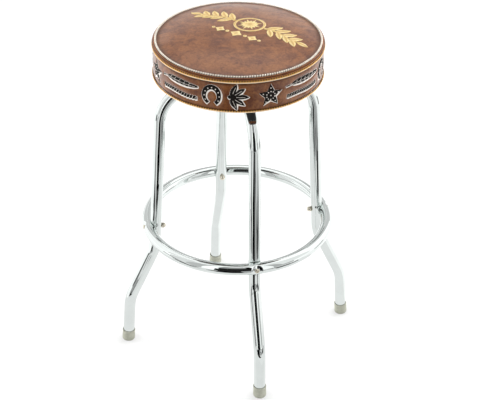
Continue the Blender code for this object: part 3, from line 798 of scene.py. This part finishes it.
def crown_ornament(grow):
    """A rosette between two leafy sprays over a small row of lozenges and dots."""
    row, radius = -0.0515, 0.0312
    patches = [star((0, 0), 16, 0.0255, 0.0140, grow, short=0.0195)]
    patches.append(stroke(radius * directions(72), 0.0026, grow, closed=True))
    patches += spray(1, grow) + spray(-1, grow)
    patches.append(star((0, row), 4, 0.0135, 0.0085, grow))
    for side in (1, -1):
        patches.append(dot((side * 0.0215, row), 0.0040, grow))
        patches.append(star((side * 0.0390, row), 4, 0.0115, 0.0072, grow))
        patches.append(dot((side * 0.0555, row), 0.0036, grow))
    turn, middle = -pi / 4, np.array([0.0300, 0.0300])
    spin = np.array([[cos(turn), -sin(turn)], [sin(turn), cos(turn)]])
    return [(grid @ spin.T + middle, across, wrap) for grid, across, wrap in patches]


def horseshoe_line(x, y, count=44):
    angle = radians(-60) + radians(300) * np.linspace(0, 1, count)
    return np.stack([x + 0.0155 * np.cos(angle), y - 0.001 + 0.0185 * np.sin(angle)], 1)


def feather_line(x, y):
    y += 0.0115
    ends = (x - 0.048, y - 0.002), (x - 0.018, y + 0.004), (x + 0.014, y - 0.003), (x + 0.048, y + 0.001)
    return bezier(*ends, 48)


def leaves_of(kind, x, y):
    """Base, angle and length of five leaves that spread from a knot, or of those along a short stem."""
    if kind == "fan":
        return [((x - 0.0160, y), radians(34 * i), 0.0360 - 0.0028 * abs(i)) for i in range(-2, 3)]
    starts = [x + 0.0135 * i for i in range(3)]
    pairs = [[((s - 0.022, y), 0.85, 0.0225), ((s - 0.018, y), -0.85, 0.0225)] for s in starts]
    return sum(pairs, []) + [((x + 0.012, y), 0.0, 0.0170)]


def figure(kind, x, y, grow):
    """A star, a horseshoe, a feather over a rope, a fan of leaves or a sprig."""
    if kind == "star":
        return [star((x, y - 0.001), 5, 0.0255, 0.0126, grow)]
    if kind == "horseshoe":
        line = horseshoe_line(x, y)
        share = np.linspace(0, 1, len(line))
        return [stroke(line, 0.0046 + 0.0016 * smooth(np.minimum(share, 1 - share) / 0.45), grow)]
    if kind == "pair":
        vane = np.clip((np.linspace(0, 1, 48) - 0.18) / 0.82, 0, 1)
        feather = stroke(feather_line(x, y), 0.0014 + 0.0058 * np.sin(pi * vane**0.75) ** 0.6, grow)
        share = np.linspace(0, 1, 61)
        rope = np.stack([x - 0.045 + 0.090 * share, y - 0.0130 + 0.0012 * np.sin(TAU * share)], 1)
        return [feather, stroke(rope, 0.0046 - 0.0007 * np.cos(TAU * 13 * share), grow)]
    if kind == "fan":
        half, heart = 0.0066, dot((x - 0.0185, y), 0.0045, grow)
    else:
        stem = bezier((x - 0.028, y), (x - 0.01, y), (x, y), (x + 0.012, y), 12)
        half, heart = 0.0053, stroke(stem, 0.0016, grow)
    return [heart] + [leaf(base, angle, length, half, 0.0, grow) for base, angle, length in leaves_of(kind, x, y)]


def band_layout():
    """Each figure's kind and its middle, as (distance round the band, height)."""
    middle = (HEM_Z + BAND_TOP) / 2 + 0.0005
    for i in range(4):
        start = i * TAU * BAND / 4
        yield "star", start + 0.029, middle
        yield "pair", start + 0.111, middle
        yield "horseshoe", start + 0.188, middle
        yield ("fan", "sprig")[i % 2], start + 0.243, middle


def band_figures(grow):
    return sum((figure(kind, x, y, grow) for kind, x, y in band_layout()), [])


def tick(start, end, half=0.00055):
    """A short straight stroke."""
    return stroke(np.linspace(start, end, 4), half)


def band_marks():
    """Pale veins, barbs and strands drawn on the figures."""
    patches = []
    for kind, x, y in band_layout():
        if kind == "pair":
            line = feather_line(x, y)
            patches.append(stroke(line[5:45], 0.00055))
            for base in line[12:42:6]:
                for side in (1, -1):
                    patches.append(tick(base + (0.0008, side * 0.0010), base + (0.0056, side * 0.0046), 0.00050))
            for i in range(13):
                place = np.array([x - 0.0415 + 0.00692 * i, y - 0.0130 + 0.0012 * sin(TAU * (i + 0.5) / 13)])
                patches.append(tick(place - (0.0014, 0.0032), place + (0.0014, 0.0032)))
        elif kind in ("fan", "sprig"):
            for base, angle, length in leaves_of(kind, x, y):
                along = np.array([cos(angle), sin(angle)]) * length
                patches.append(tick(base + along * 0.28, base + along * 0.78))
    return patches


def band_studs():
    """Pale dots on the horseshoes and stars."""
    for kind, x, y in band_layout():
        if kind == "horseshoe":
            yield from horseshoe_line(x, y, 11)[1:-1]
        elif kind == "star":
            middle = np.array([x, y - 0.001])
            yield middle
            for reach, turn in ((0.0088, 0.0), (0.0165, 0.0), (0.0088, pi / 5)):
                for angle in turns(5):
                    yield middle + at(pi / 2 + turn + angle, reach)[:2]


def relief(name, patches, surface, low, high, material, power=6):
    """Thin closed plates, one for each patch, laid on a surface; power sets how flat their tops are."""
    bm = bmesh.new()
    for index, (grid, across, wrap) in enumerate(patches):
        lifts = low + (high + 0.000006 * (index % 5) - low) * (1 - 0.5 * across**power)
        shell = []
        for row in grid:
            under = [surface(*spot, low) for spot in row[::-1]]
            shell.append([surface(*spot, lift) for spot, lift in zip(row, lifts)] + under)
        # Nearness to the middle of the stroke, where the gold print paints shade.
        middle = np.maximum(0.0, 1 - across / 0.62)
        loft(shell, not wrap, [middle] * len(shell), bm)
    finish(bm, name, material, "seat", sharp=60)


def stud_heads(material):
    bm = bmesh.new()
    for spot in band_studs():
        rings = []
        for radius, lift in ((1.25, -0.4), (1.25, 0.1), (0.9, 0.28), (0.4, 0.36)):
            edge = [spot + at(a, radius * MM)[:2] for a in turns(12)]
            rings.append([band_surface(*point, lift * MM) for point in edge])
        loft(rings, bm=bm)
    finish(bm, "band_studs", material, "seat")


# Materials


def put(tree, socket, value):
    """Links a socket to this one, or sets this one's own value."""
    if isinstance(value, bpy.types.NodeSocket):
        tree.links.new(value, socket)
    else:
        socket.default_value = value


def put_all(tree, made, inputs):
    for key, value in inputs.items():
        put(tree, made.inputs[key.replace("_", " ")], value)


def node(tree, kind, settings=None, **inputs):
    made = tree.nodes.new("ShaderNode" + kind)
    for key, value in (settings or {}).items():
        setattr(made, key, value)
    put_all(tree, made, inputs)
    return made


def place_of(tree, scale=None):
    """Object coordinates, in metres, stretched by scale."""
    vector = node(tree, "TexCoord").outputs["Object"]
    return node(tree, "Mapping", Vector=vector, Scale=scale).outputs["Vector"] if scale else vector


def noise(tree, scale, detail=2.0, roughness=0.5, distortion=0.0, stretch=None):
    inputs = {"Detail": detail, "Roughness": roughness, "Distortion": distortion}
    return node(tree, "TexNoise", Vector=place_of(tree, stretch), Scale=scale, **inputs).outputs["Fac"]


def cells(tree, scale, feature="F1"):
    return node(tree, "TexVoronoi", {"feature": feature}, Vector=place_of(tree), Scale=scale).outputs["Distance"]


def spread(tree, value, low, high, to_low=0.0, to_high=1.0):
    made = node(tree, "MapRange", Value=value, From_Min=low, From_Max=high, To_Min=to_low, To_Max=to_high)
    return made.outputs["Result"]


def mix(tree, share, first, second):
    made = node(tree, "Mix", {"data_type": "RGBA"})
    for index, value in ((0, share), (6, first), (7, second)):
        put(tree, made.inputs[index], (*value, 1) if isinstance(value, tuple) else value)
    return made.outputs[2]


def blotches(tree, share, dark, light, low=0.3, high=0.7):
    return mix(tree, spread(tree, share, low, high), dark, light)


def dim(colour, share):
    return tuple(share * part for part in colour)


def combine(tree, operation, *values, kind="Math"):
    made = node(tree, kind, {"operation": operation})
    for socket, value in zip(made.inputs, values):
        put(tree, socket, value)
    return made.outputs["Value"]


def average(tree, *parts):
    return combine(tree, "ADD", *[combine(tree, "MULTIPLY", part, 0.5) for part in parts])


def wear_and_shade_of(tree):
    return node(tree, "Attribute", {"attribute_name": "wear_and_shade"}).outputs["Fac"]


def dress(tree, layers, colour, rough, **inputs):
    """Sets the shader's inputs, and stacks (height, depth in metres) bump layers into its normal."""
    for height, depth in layers:
        bump = node(tree, "Bump", Height=height, Distance=depth, Strength=1.0)
        if "Normal" in inputs:
            put(tree, bump.inputs["Normal"], inputs["Normal"])
        inputs["Normal"] = bump.outputs["Normal"]
    put_all(tree, tree.nodes["Principled BSDF"], {"Base Color": colour, "Roughness": rough, **inputs})


def look(build):
    """Makes a function that fills a material's tree into one that makes the named material."""

    def make(name, *args, **settings):
        material = bpy.data.materials.new(name)
        material.use_nodes = True
        build(material.node_tree, *args, **settings)
        return material

    return make


@look
def vinyl(tree, dark, light, roughness=0.31, coat=1.0):
    """Grained vinyl with cloudy patches, darker and less glossy where its darkening is high: painted shade in
    creases, partly also wear along seams.
    """
    patch = average(tree, noise(tree, 30, 5, 0.62, 0.8), noise(tree, 130, 6, 0.72, 1.4))
    wear_and_shade = wear_and_shade_of(tree)
    colour = blotches(tree, patch, dark, light, 0.40, 0.60)
    pores = spread(tree, cells(tree, 950), 0.0, 0.25, 0.35, 0.0)
    colour = mix(tree, pores, colour, dim(dark, 0.45))
    # Painted shade, partly wear: darker towards near black where the darkening is high.
    colour = mix(tree, spread(tree, wear_and_shade, 0.0, 1.0, 0.0, 0.92), colour, dim(dark, 0.16))
    grain = [(cells(tree, 1100, "SMOOTH_F1"), 0.00012), (noise(tree, 420, 3), 0.00010), (noise(tree, 60), 0.0004)]
    rough = spread(tree, patch, 0.3, 0.7, roughness + 0.07, roughness - 0.05)
    tree.nodes["Principled BSDF"].inputs["Coat Weight"].default_value = coat
    # Less coat in the same places, so that the painted shade there stays dark.
    dulled_coat = spread(tree, wear_and_shade, 0.3, 0.8, coat, 0.15)
    gloss = {"Specular IOR Level": 0.15, "Coat Weight": dulled_coat, "Coat Roughness": 0.24, "Coat IOR": 1.40}
    dress(tree, grain, colour, rough, **gloss, Sheen_Weight=0.20, Sheen_Roughness=0.30)


@look
def chrome(tree):
    """Polished plating with a faint waviness, fine scuffs and a trace of dulling."""
    haze = noise(tree, 22, 4, 0.6)
    tone = blotches(tree, haze, (0.745, 0.785, 0.770), (0.70, 0.735, 0.722), 0.35)
    scuffs = noise(tree, 900, 2, 0.7, 0.0, (1.0, 1.0, 0.15))
    marks = spread(tree, scuffs, 0.68, 0.8, 0.0, 0.025)
    rough = combine(tree, "ADD", spread(tree, haze, 0.3, 0.75, 0.004, 0.016), marks)
    layers = [(noise(tree, 45, 1), 0.00004), (scuffs, 0.000001)]
    dress(tree, layers, tone, rough, Metallic=1.0)


@look
def plated_steel(tree, tint, roughness):
    """Zinc-plated or rolled metal with cloudy brightness and fine grain."""
    cloud = noise(tree, 180, 4, 0.6)
    rough = spread(tree, cloud, 0.3, 0.7, roughness + 0.10, roughness - 0.06)
    colour = blotches(tree, cloud, dim(tint, 0.78), tint)
    dress(tree, [(noise(tree, 2600), 0.000012)], colour, rough, Metallic=1.0)


@look
def piping(tree, dark, light, shade_tone):
    """Smooth coated cord with painted shade: the shade tone on its upper side, and near black in its creases and
    where its stitches draw it in.
    """
    cloud, wear_and_shade = noise(tree, 260, 4, 0.6), wear_and_shade_of(tree)
    # Painted shade, from the darkening that the cords carry.
    colour = mix(tree, spread(tree, wear_and_shade, 0.05, 0.35), blotches(tree, cloud, dark, light), shade_tone)
    colour = mix(tree, spread(tree, wear_and_shade, 0.45, 0.75, 0.0, 0.97), colour, (0.030, 0.008, 0.003))
    rough = spread(tree, cloud, 0.3, 0.7, 0.45, 0.36)
    layers = [(cells(tree, 1500), 0.00006), (noise(tree, 700), 0.00005)]
    dress(tree, layers, colour, rough, Specular_IOR_Level=0.2)


@look
def thread_material(tree, dark, light):
    """Waxed thread with fine fibres along it."""
    fibres = noise(tree, 3200, 3, 0.7)
    colour = blotches(tree, average(tree, fibres, noise(tree, 140, 3)), dark, light, 0.35, 0.65)
    dress(tree, [(fibres, 0.00012)], colour, 0.62, Sheen_Weight=0.15)


@look
def printed(tree, dark, light, roughness, depth, gloss=0.5, shade_tone=None):
    """Ink or foil on vinyl, mottled and slightly broken by the grain; a given shade tone is painted shade along
    the middle of a stroke.
    """
    cloud, grain = noise(tree, 170, 4, 0.65), cells(tree, 1050)
    gaps = spread(tree, grain, 0.0, 0.22, 0.35, 0.0)
    colour = mix(tree, gaps, blotches(tree, cloud, dark, light), dim(dark, 0.6))
    # Painted shade of a raised stroke, deepest along its middle.
    if shade_tone:
        colour = mix(tree, combine(tree, "MULTIPLY", wear_and_shade_of(tree), 0.85), colour, shade_tone)
    rough = spread(tree, cloud, 0.3, 0.7, roughness + 0.06, roughness - 0.04)
    layers = [(grain, depth), (noise(tree, 420, 3), depth)]
    dress(tree, layers, colour, rough, Specular_IOR_Level=gloss)


@look
def cloth_material(tree):
    """Black spun cloth with bonded dimples and stray fibres."""
    fibres = noise(tree, 1400, 4, 0.75, 1.5)
    colour = blotches(tree, fibres, (0.005, 0.005, 0.006), (0.018, 0.018, 0.020), high=0.75)
    layers = [(cells(tree, 620), 0.00025), (fibres, 0.00015)]
    dress(tree, layers, colour, 0.92, Sheen_Weight=0.06)


@look
def moulded_plastic(tree, dark, light):
    """Matt moulded plastic with fine speckle, darker in patches towards the floor."""
    cloud = noise(tree, 120, 4, 0.6)
    low = node(tree, "SeparateXYZ", Vector=place_of(tree)).outputs["Z"]
    # Darker in patches within a few millimetres of the floor.
    low_patches = combine(tree, "MULTIPLY", spread(tree, low, 0.0, 0.007, 0.45, 0.0), noise(tree, 500, 3))
    colour = mix(tree, low_patches, blotches(tree, cloud, dark, light), dim(dark, 0.45))
    layers = [(noise(tree, 1500), 0.00005), (noise(tree, 240), 0.00012)]
    dress(tree, layers, colour, spread(tree, cloud, 0.3, 0.7, 0.62, 0.50))


@look
def wood_material(tree):
    """Plywood face with long grain along X."""
    grain = noise(tree, 60, 6, 0.65, 0.6, (0.12, 1.0, 6.0))
    colour = blotches(tree, grain, (0.40, 0.26, 0.14), (0.66, 0.50, 0.31), 0.32, 0.68)
    dress(tree, [(grain, 0.0002)], colour, 0.72)


# Studio

AMBIENT, REFLECTED = 0.50, 1.40
FLOOR_SIZE, WALL_REACH = 4.0, 3.6
FOCAL_PIXELS, SENSOR = 1345.12, 36.0

# Boards and flags lying round the stool, seen only in reflections: strength, then x and y of each corner.
# A program fitted all but the last three rows to the photo's chrome, so they are no example of good code.
FLOOR_CARDS = [
    (1.29, -5.11, -0.95, -0.95, -0.49, -0.34, 0.54, -1.3, 2.63, -5.53, 3.3),
    (1.24, 0.96, -0.52, 4.53, -1.65, 4.69, 2.33, 0.16, 1.84, -0.18, 0.4),
    (0.94, -3.7, -1.46, -0.07, -0.47, 0.2, -0.3, -3.46, 0.02),
    (0.43, -3.85, -0.66, -0.91, -0.52, -0.5, -0.48, -0.59, -0.21, -1.46, -0.16, -2.87, 0.44),
    (0.00, -1.03, -0.41, -0.43, -0.32, -0.69, -0.26, -0.82, -0.12),
    (0.54, -0.65, -0.71, 0.76, -0.7, 1.29, -2.61, -1.53, -3.45),
    (1.00, 0.28, -1.0, 0.47, -1.02, 0.84, -2.53, 0.3, -2.68),
    (1.19, 0.26, -0.58, 1.04, -0.66, 4.09, -1.07, 3.98, -2.9),
    (0.02, 0.27, -0.49, 0.6, -0.43, 0.9, -0.63, 1.03, -0.72, 0.62, -0.69, 0.42, -0.85),
    (0.00, -0.3, -0.51, 0.1, -0.57, -0.05, -0.66, -0.14, -1.14)
    + (-0.34, -2.55, -1.44, -2.21, -0.72, -1.23, -0.67, -0.74),
    (0.00, 0.11, -0.62, 0.25, -0.79, 0.25, -1.1, 0.19, -1.33, -0.04, -1.39, 0.16, -1.04),
    (0.25, -1.8, -0.91, -0.8, -0.57, -0.99, -0.73, -1.97, -1.64),
    (0.31, 0.1, -0.94, 0.66, -0.65, 0.94, -0.95, 0.25, -0.88),
    (0.15, -0.57, -0.62, -0.17, -0.66, -0.4, -0.59, -0.45, -0.5),
    (0.07, -0.71, -0.52, -0.63, -0.41, -0.83, -0.38, -0.74, -0.08),
    (0.02, -1.58, -2.19, 1.41, -3.46, 0.92, -3.81, -3.09, -5.59),
    (0.05, -0.25, 1.5, 0.25, 1.5, 0.6, 3.6, -0.6, 3.6),
    (0.05, 1.6, -0.25, 1.6, 0.2, 3.6, 0.5, 3.6, -0.6),
    (0.05, -1.6, -0.25, -1.6, 0.2, -3.6, 0.5, -3.6, -0.6),
]

# The room as a reflection sees it: strength, two azimuths and two elevations in degrees.
# The same program fitted all of these rows.
WALL_CARDS = [
    (1.50, 64, 94, 27, 45),
    (0.93, -179, -140, 0, 60),
    (0.64, -158, -140, 0, 75),
    (0.02, -126, -80, 0, 26),
    (0.01, -123, -82, 26, 65),
    (0.36, -126, -90, 40, 68),
    (1.27, -81, -17, 2, 75),
    (0.55, -62, -38, 0, 55),
    (1.03, -52, -14, 10, 72),
    (0.70, 34, 62, 3, 50),
    (0.69, 63, 94, 7, 41),
    (0.77, 96, 126, 3, 45),
    (0.12, 58, 96, 36, 42),
    (0.00, 96, 112, 42, 46),
    (0.60, 122, 177, 20, 84),
    (1.26, 129, 174, 7, 69),
    (0.91, -162, 127, 74, 90),
    (0.00, 80, 89, 0, 6),
]

# Name, place, height it points at over the axis, size and power
LAMPS = [
    ("overhead", (-0.2, -0.2, 2.6), 0.6, (2.0, 2.0), 9),
    ("back", (1.3, 1.7, 2.0), 0.7, (1.6, 1.6), 34),
    ("front", (-0.5, -2.1, 1.5), 0.7, (1.8, 0.8), 6),
    ("left", (-1.9, 0.9, 1.0), 0.7, (1.2, 0.8), 30),
    ("right", (2.1, 0.3, 1.0), 0.7, (1.2, 0.8), 34),
]


def ray_kinds(tree):
    """Sockets that are 1 for what the camera sees, also through glass, and for what shines in metal."""
    path = node(tree, "LightPath").outputs
    return combine(tree, "MAXIMUM", path["Is Camera Ray"], path["Is Transmission Ray"]), path["Is Glossy Ray"]


def make_world():
    world = bpy.data.worlds.new("studio")
    bpy.context.scene.world = world
    world.use_nodes = True
    tree = world.node_tree
    direct, glossy = ray_kinds(tree)
    seen = combine(tree, "MULTIPLY", direct, 1.0 - AMBIENT)
    mirrored = combine(tree, "MULTIPLY", glossy, REFLECTED - AMBIENT)
    strength = combine(tree, "ADD", combine(tree, "ADD", seen, mirrored), AMBIENT)
    put_all(tree, tree.nodes["Background"], {"Color": (1, 1, 1, 1), "Strength": strength})


def stage_piece(name, bm):
    """A piece of the stage with an empty material of its own, and that material's tree."""
    material = bpy.data.materials.new(name)
    material.use_nodes = True
    material.node_tree.nodes.clear()
    piece = add_object(name, take_mesh(bm, name, material))
    return piece, material.node_tree


def join(tree, kind, first, second, share=None):
    """Adds two shaders, or mixes them by share."""
    made = node(tree, kind, Fac=share) if share else node(tree, kind)
    for socket, shader in zip(made.inputs[-2:], (first, second)):
        tree.links.new(shader.outputs[0], socket)
    return made


def show(tree, shader):
    tree.links.new(shader.outputs[0], node(tree, "OutputMaterial").inputs["Surface"])


def make_floor():
    """White for the camera, but with a little less glow close to each foot: a painted shadow there, on top of the
    feet's real shade.
    """
    bm = bmesh.new()
    bmesh.ops.create_grid(bm, x_segments=1, y_segments=1, size=FLOOR_SIZE)
    floor, tree = stage_piece("floor", bm)
    floor.location.z = -0.0002
    direct, glossy = ray_kinds(tree)
    fold = node(tree, "VectorMath", {"operation": "ABSOLUTE"}, Vector=place_of(tree)).outputs["Vector"]
    feet = (FOOT, 0, 0), (0, FOOT, 0)
    away = [combine(tree, "DISTANCE", fold, foot, kind="VectorMath") for foot in feet]
    nearest = combine(tree, "MINIMUM", *away)
    # Painted shadow: less glow within a few centimetres of each foot.
    glow = node(tree, "Emission", Strength=spread(tree, nearest, 0.012, 0.034, 0.545, 0.68))
    seen = join(tree, "AddShader", node(tree, "BsdfDiffuse", Color=(0.33, 0.33, 0.33, 1)), glow)
    plain = node(tree, "BsdfDiffuse", Color=(0.80, 0.80, 0.80, 1))
    unseen = join(tree, "MixShader", plain, node(tree, "Emission", Strength=1.0), glossy)
    show(tree, join(tree, "MixShader", unseen, seen, direct))


def reflector_card(name, strength, bm):
    """Seen only in reflections, so it neither shows nor shades anything."""
    card, tree = stage_piece(name, bm)
    card.visible_camera = card.visible_diffuse = card.visible_transmission = card.visible_shadow = False
    show(tree, node(tree, "Emission", Strength=strength))


def make_cards():
    """Lays each card over the ones before it."""
    for i, (strength, *corners) in enumerate(FLOOR_CARDS):
        bm = bmesh.new()
        lift = 0.0002 * (i + 1)
        bm.faces.new([bm.verts.new((x, y, lift)) for x, y in zip(corners[::2], corners[1::2])])
        reflector_card(f"floor_card_{i}", strength, bm)
    for i, (strength, start, end, low, high) in enumerate(WALL_CARDS):
        reach = WALL_REACH - 0.04 * i
        azimuths = np.radians(np.linspace(start, end, 2 + int((end - start) / 8)))
        grid = []
        for lean in np.radians(np.linspace(low, high, 2 + int((high - low) / 8))):
            height = reach * sin(lean) + RING_Z * (lean > 0)
            grid.append([at(azimuth, reach * cos(lean), height) for azimuth in azimuths])
        reflector_card(f"wall_card_{i}", strength, loft(grid, closed=False))


def area_light(name, place, aim, size, power):
    data = bpy.data.lights.new(name, "AREA")
    data.shape = "RECTANGLE"
    data.size, data.size_y = size
    data.energy = power
    light = add_object(name, data)
    light.location = place
    light.rotation_euler = (UP * aim - Vector(place)).to_track_quat("-Z", "Y").to_euler()
    light.visible_glossy = False


def make_camera():
    """The camera that took the photo, as its outlines give it for a frame 500 pixels wide."""
    yaw, pitch, roll = 0.2215, 0.57998, 0.01442
    forward = Vector((sin(yaw) * cos(pitch), cos(yaw) * cos(pitch), -sin(pitch)))
    level = Vector((cos(yaw), -sin(yaw), 0))
    upward = level.cross(forward)
    right = level * cos(roll) + upward * sin(roll)
    up = upward * cos(roll) - level * sin(roll)
    data = bpy.data.cameras.new("camera")
    data.sensor_width = SENSOR
    data.lens = FOCAL_PIXELS * SENSOR / 500
    data.clip_start, data.clip_end = 0.05, 50.0
    camera = add_object("camera", data)
    turn = Matrix((right, up, -forward)).transposed().to_4x4()
    camera.matrix_world = Matrix.Translation((-0.521, -2.4435, 1.98629)) @ turn
    bpy.context.scene.camera = camera


# Assembly

CHROME = chrome("polished_chrome")
ZINC = plated_steel("zinc_plate", (0.62, 0.61, 0.58), 0.34)
WARM_ZINC = plated_steel("warm_zinc_plate", (0.80, 0.75, 0.63), 0.20)
POLISHED = plated_steel("ball_steel", (0.70, 0.70, 0.70), 0.14)
BRASS = plated_steel("brass_strip", (0.70, 0.50, 0.22), 0.36)
VINYL = vinyl("brown_vinyl", (0.130, 0.030, 0.005), (0.335, 0.119, 0.028))
# A lighter, redder copy of the brown vinyl on the welt bead: painted light along the bead, with less coat so its
# painted creases stay dark.
LIT_WELT_VINYL = vinyl("welt_vinyl", (0.200, 0.054, 0.011), (0.380, 0.133, 0.034), 0.34, 0.35)
# Its third colour is painted shade on the cords' upper side.
GOLD_CORD = piping("gold_piping", (0.95, 0.68, 0.42), (0.99, 0.83, 0.60), (0.80, 0.39, 0.06))
CREAM = thread_material("cream_thread", (0.94, 0.82, 0.67), (0.99, 0.95, 0.87))
BROWN_THREAD = thread_material("brown_thread", (0.05, 0.020, 0.010), (0.10, 0.042, 0.020))
FOIL_TONES = (0.78, 0.54, 0.17), (0.98, 0.84, 0.45)
# The foil's last colour is painted shade along the middle of its strokes.
GOLD_FOIL = printed("gold_print", *FOIL_TONES, 0.42, 0.00005, shade_tone=(0.50, 0.25, 0.035))
# An outline colour that also paints the crown ornament's shadow.
OUTLINE_SHADOW = printed("dark_outline", (0.22, 0.080, 0.014), (0.36, 0.15, 0.030), 0.50, 0.00005)
BLACK_INK = printed("black_tooling", (0.005, 0.004, 0.003), (0.012, 0.008, 0.006), 0.55, 0.00008, 0.1)
PALE_EDGE = printed("pale_outline", (0.80, 0.72, 0.64), (0.95, 0.90, 0.84), 0.55, 0.00004)
CLOTH = cloth_material("black_cloth")
KHAKI = moulded_plastic("khaki_plastic", (0.42, 0.43, 0.345), (0.52, 0.525, 0.435))
PLYWOOD = wood_material("plywood")

leg_hoop("leg_hoop_left_right", Vector((1, 0, 0)), 1, CHROME)
leg_hoop("leg_hoop_front_back", Vector((0, 1, 0)), -1, CHROME)
foot_ring(CHROME)
ring_fasteners(WARM_ZINC)
plate_fasteners(ZINC)
seat_screws(ZINC)
swivel_plate("swivel_lower_plate", LOWER_PLATE_Z, 1, "frame", ZINC)
swivel_plate("swivel_upper_plate", UPPER_PLATE_Z, -1, "seat", ZINC)
swivel_rivet(ZINC)
bearing_balls(POLISHED)
foot_caps(KHAKI)

PRESSED = fill_cover()
EDGE = 0.0009  # How far a figure's edge stands out round it
# Pale edges round the black figures, shifted down and right: a printed outline with a painted highlight of the
# tooling on that side.
edges = [(grid + (0.0004, -0.0006), across, wrap) for grid, across, wrap in band_figures(EDGE)]
places = [filled(np.concatenate([grid, grid[:1]]) if wrap else grid) for grid, _, wrap in edges]
seat_cushion(VINYL, np.concatenate(places))
relief("band_figure_edges", edges, band_surface, -0.0009, -0.00012, PALE_EDGE)
relief("band_figures", band_figures(0.0), band_surface, -0.0009, 0.00002, BLACK_INK)
relief("band_figure_marks", band_marks(), band_surface, -0.0004, 0.00012, PALE_EDGE)
stud_heads(PALE_EDGE)
# Dark edges under the gold, shifted down and right: an outline with a painted shadow of the raised ornament.
shade = [(grid + (0.0005, -0.0010), across, wrap) for grid, across, wrap in crown_ornament(EDGE)]
relief("crown_ornament_edges", shade, top_surface, -0.0004, 0.00012, OUTLINE_SHADOW)
relief("crown_ornament", crown_ornament(0.0), top_surface, -0.0004, 0.0011, GOLD_FOIL, 2)
cord("rim_welt_bead", WELT, LIT_WELT_VINYL, "brown_vinyl", "rim_welt", 0.0, (-0.75, 1.70), groove=0.55)
gold = GOLD_CORD, "gold_piping"
cord("top_piping_cord", TOP_PIPING, *gold, "top_piping", 0.14, (-1.2, 1.95), 0.15, lip=0.9)
cord("bottom_piping_cord", BOTTOM_PIPING, *gold, "bottom_piping", 0.14, (-0.7, 1.95), 0.35, lip=0.8)
lacing = (0.1717, 0.7491), 0.45, (0.0047, 0.0018), 1.00
stitch_ring("edge_stitches", *lacing, CREAM, "cream_thread", ["edge_lacing"])
seam = (0.1784, 0.7411), 0.9, (0.0024, 0.0007), 1.2
stitch_ring("piping_stitches", *seam, BROWN_THREAD, "brown_vinyl")
dust_cover(CLOTH)
cover_staples(ZINC)

for name, material in (("ball_cage", BRASS), ("seat_board", PLYWOOD)):
    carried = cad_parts[name]
    carried.data.materials.clear()
    carried.data.materials.append(material)

make_world()
make_floor()
make_cards()
for lamp in LAMPS:
    area_light(*lamp)
make_camera()
bpy.context.scene.view_settings.view_transform = "Standard"
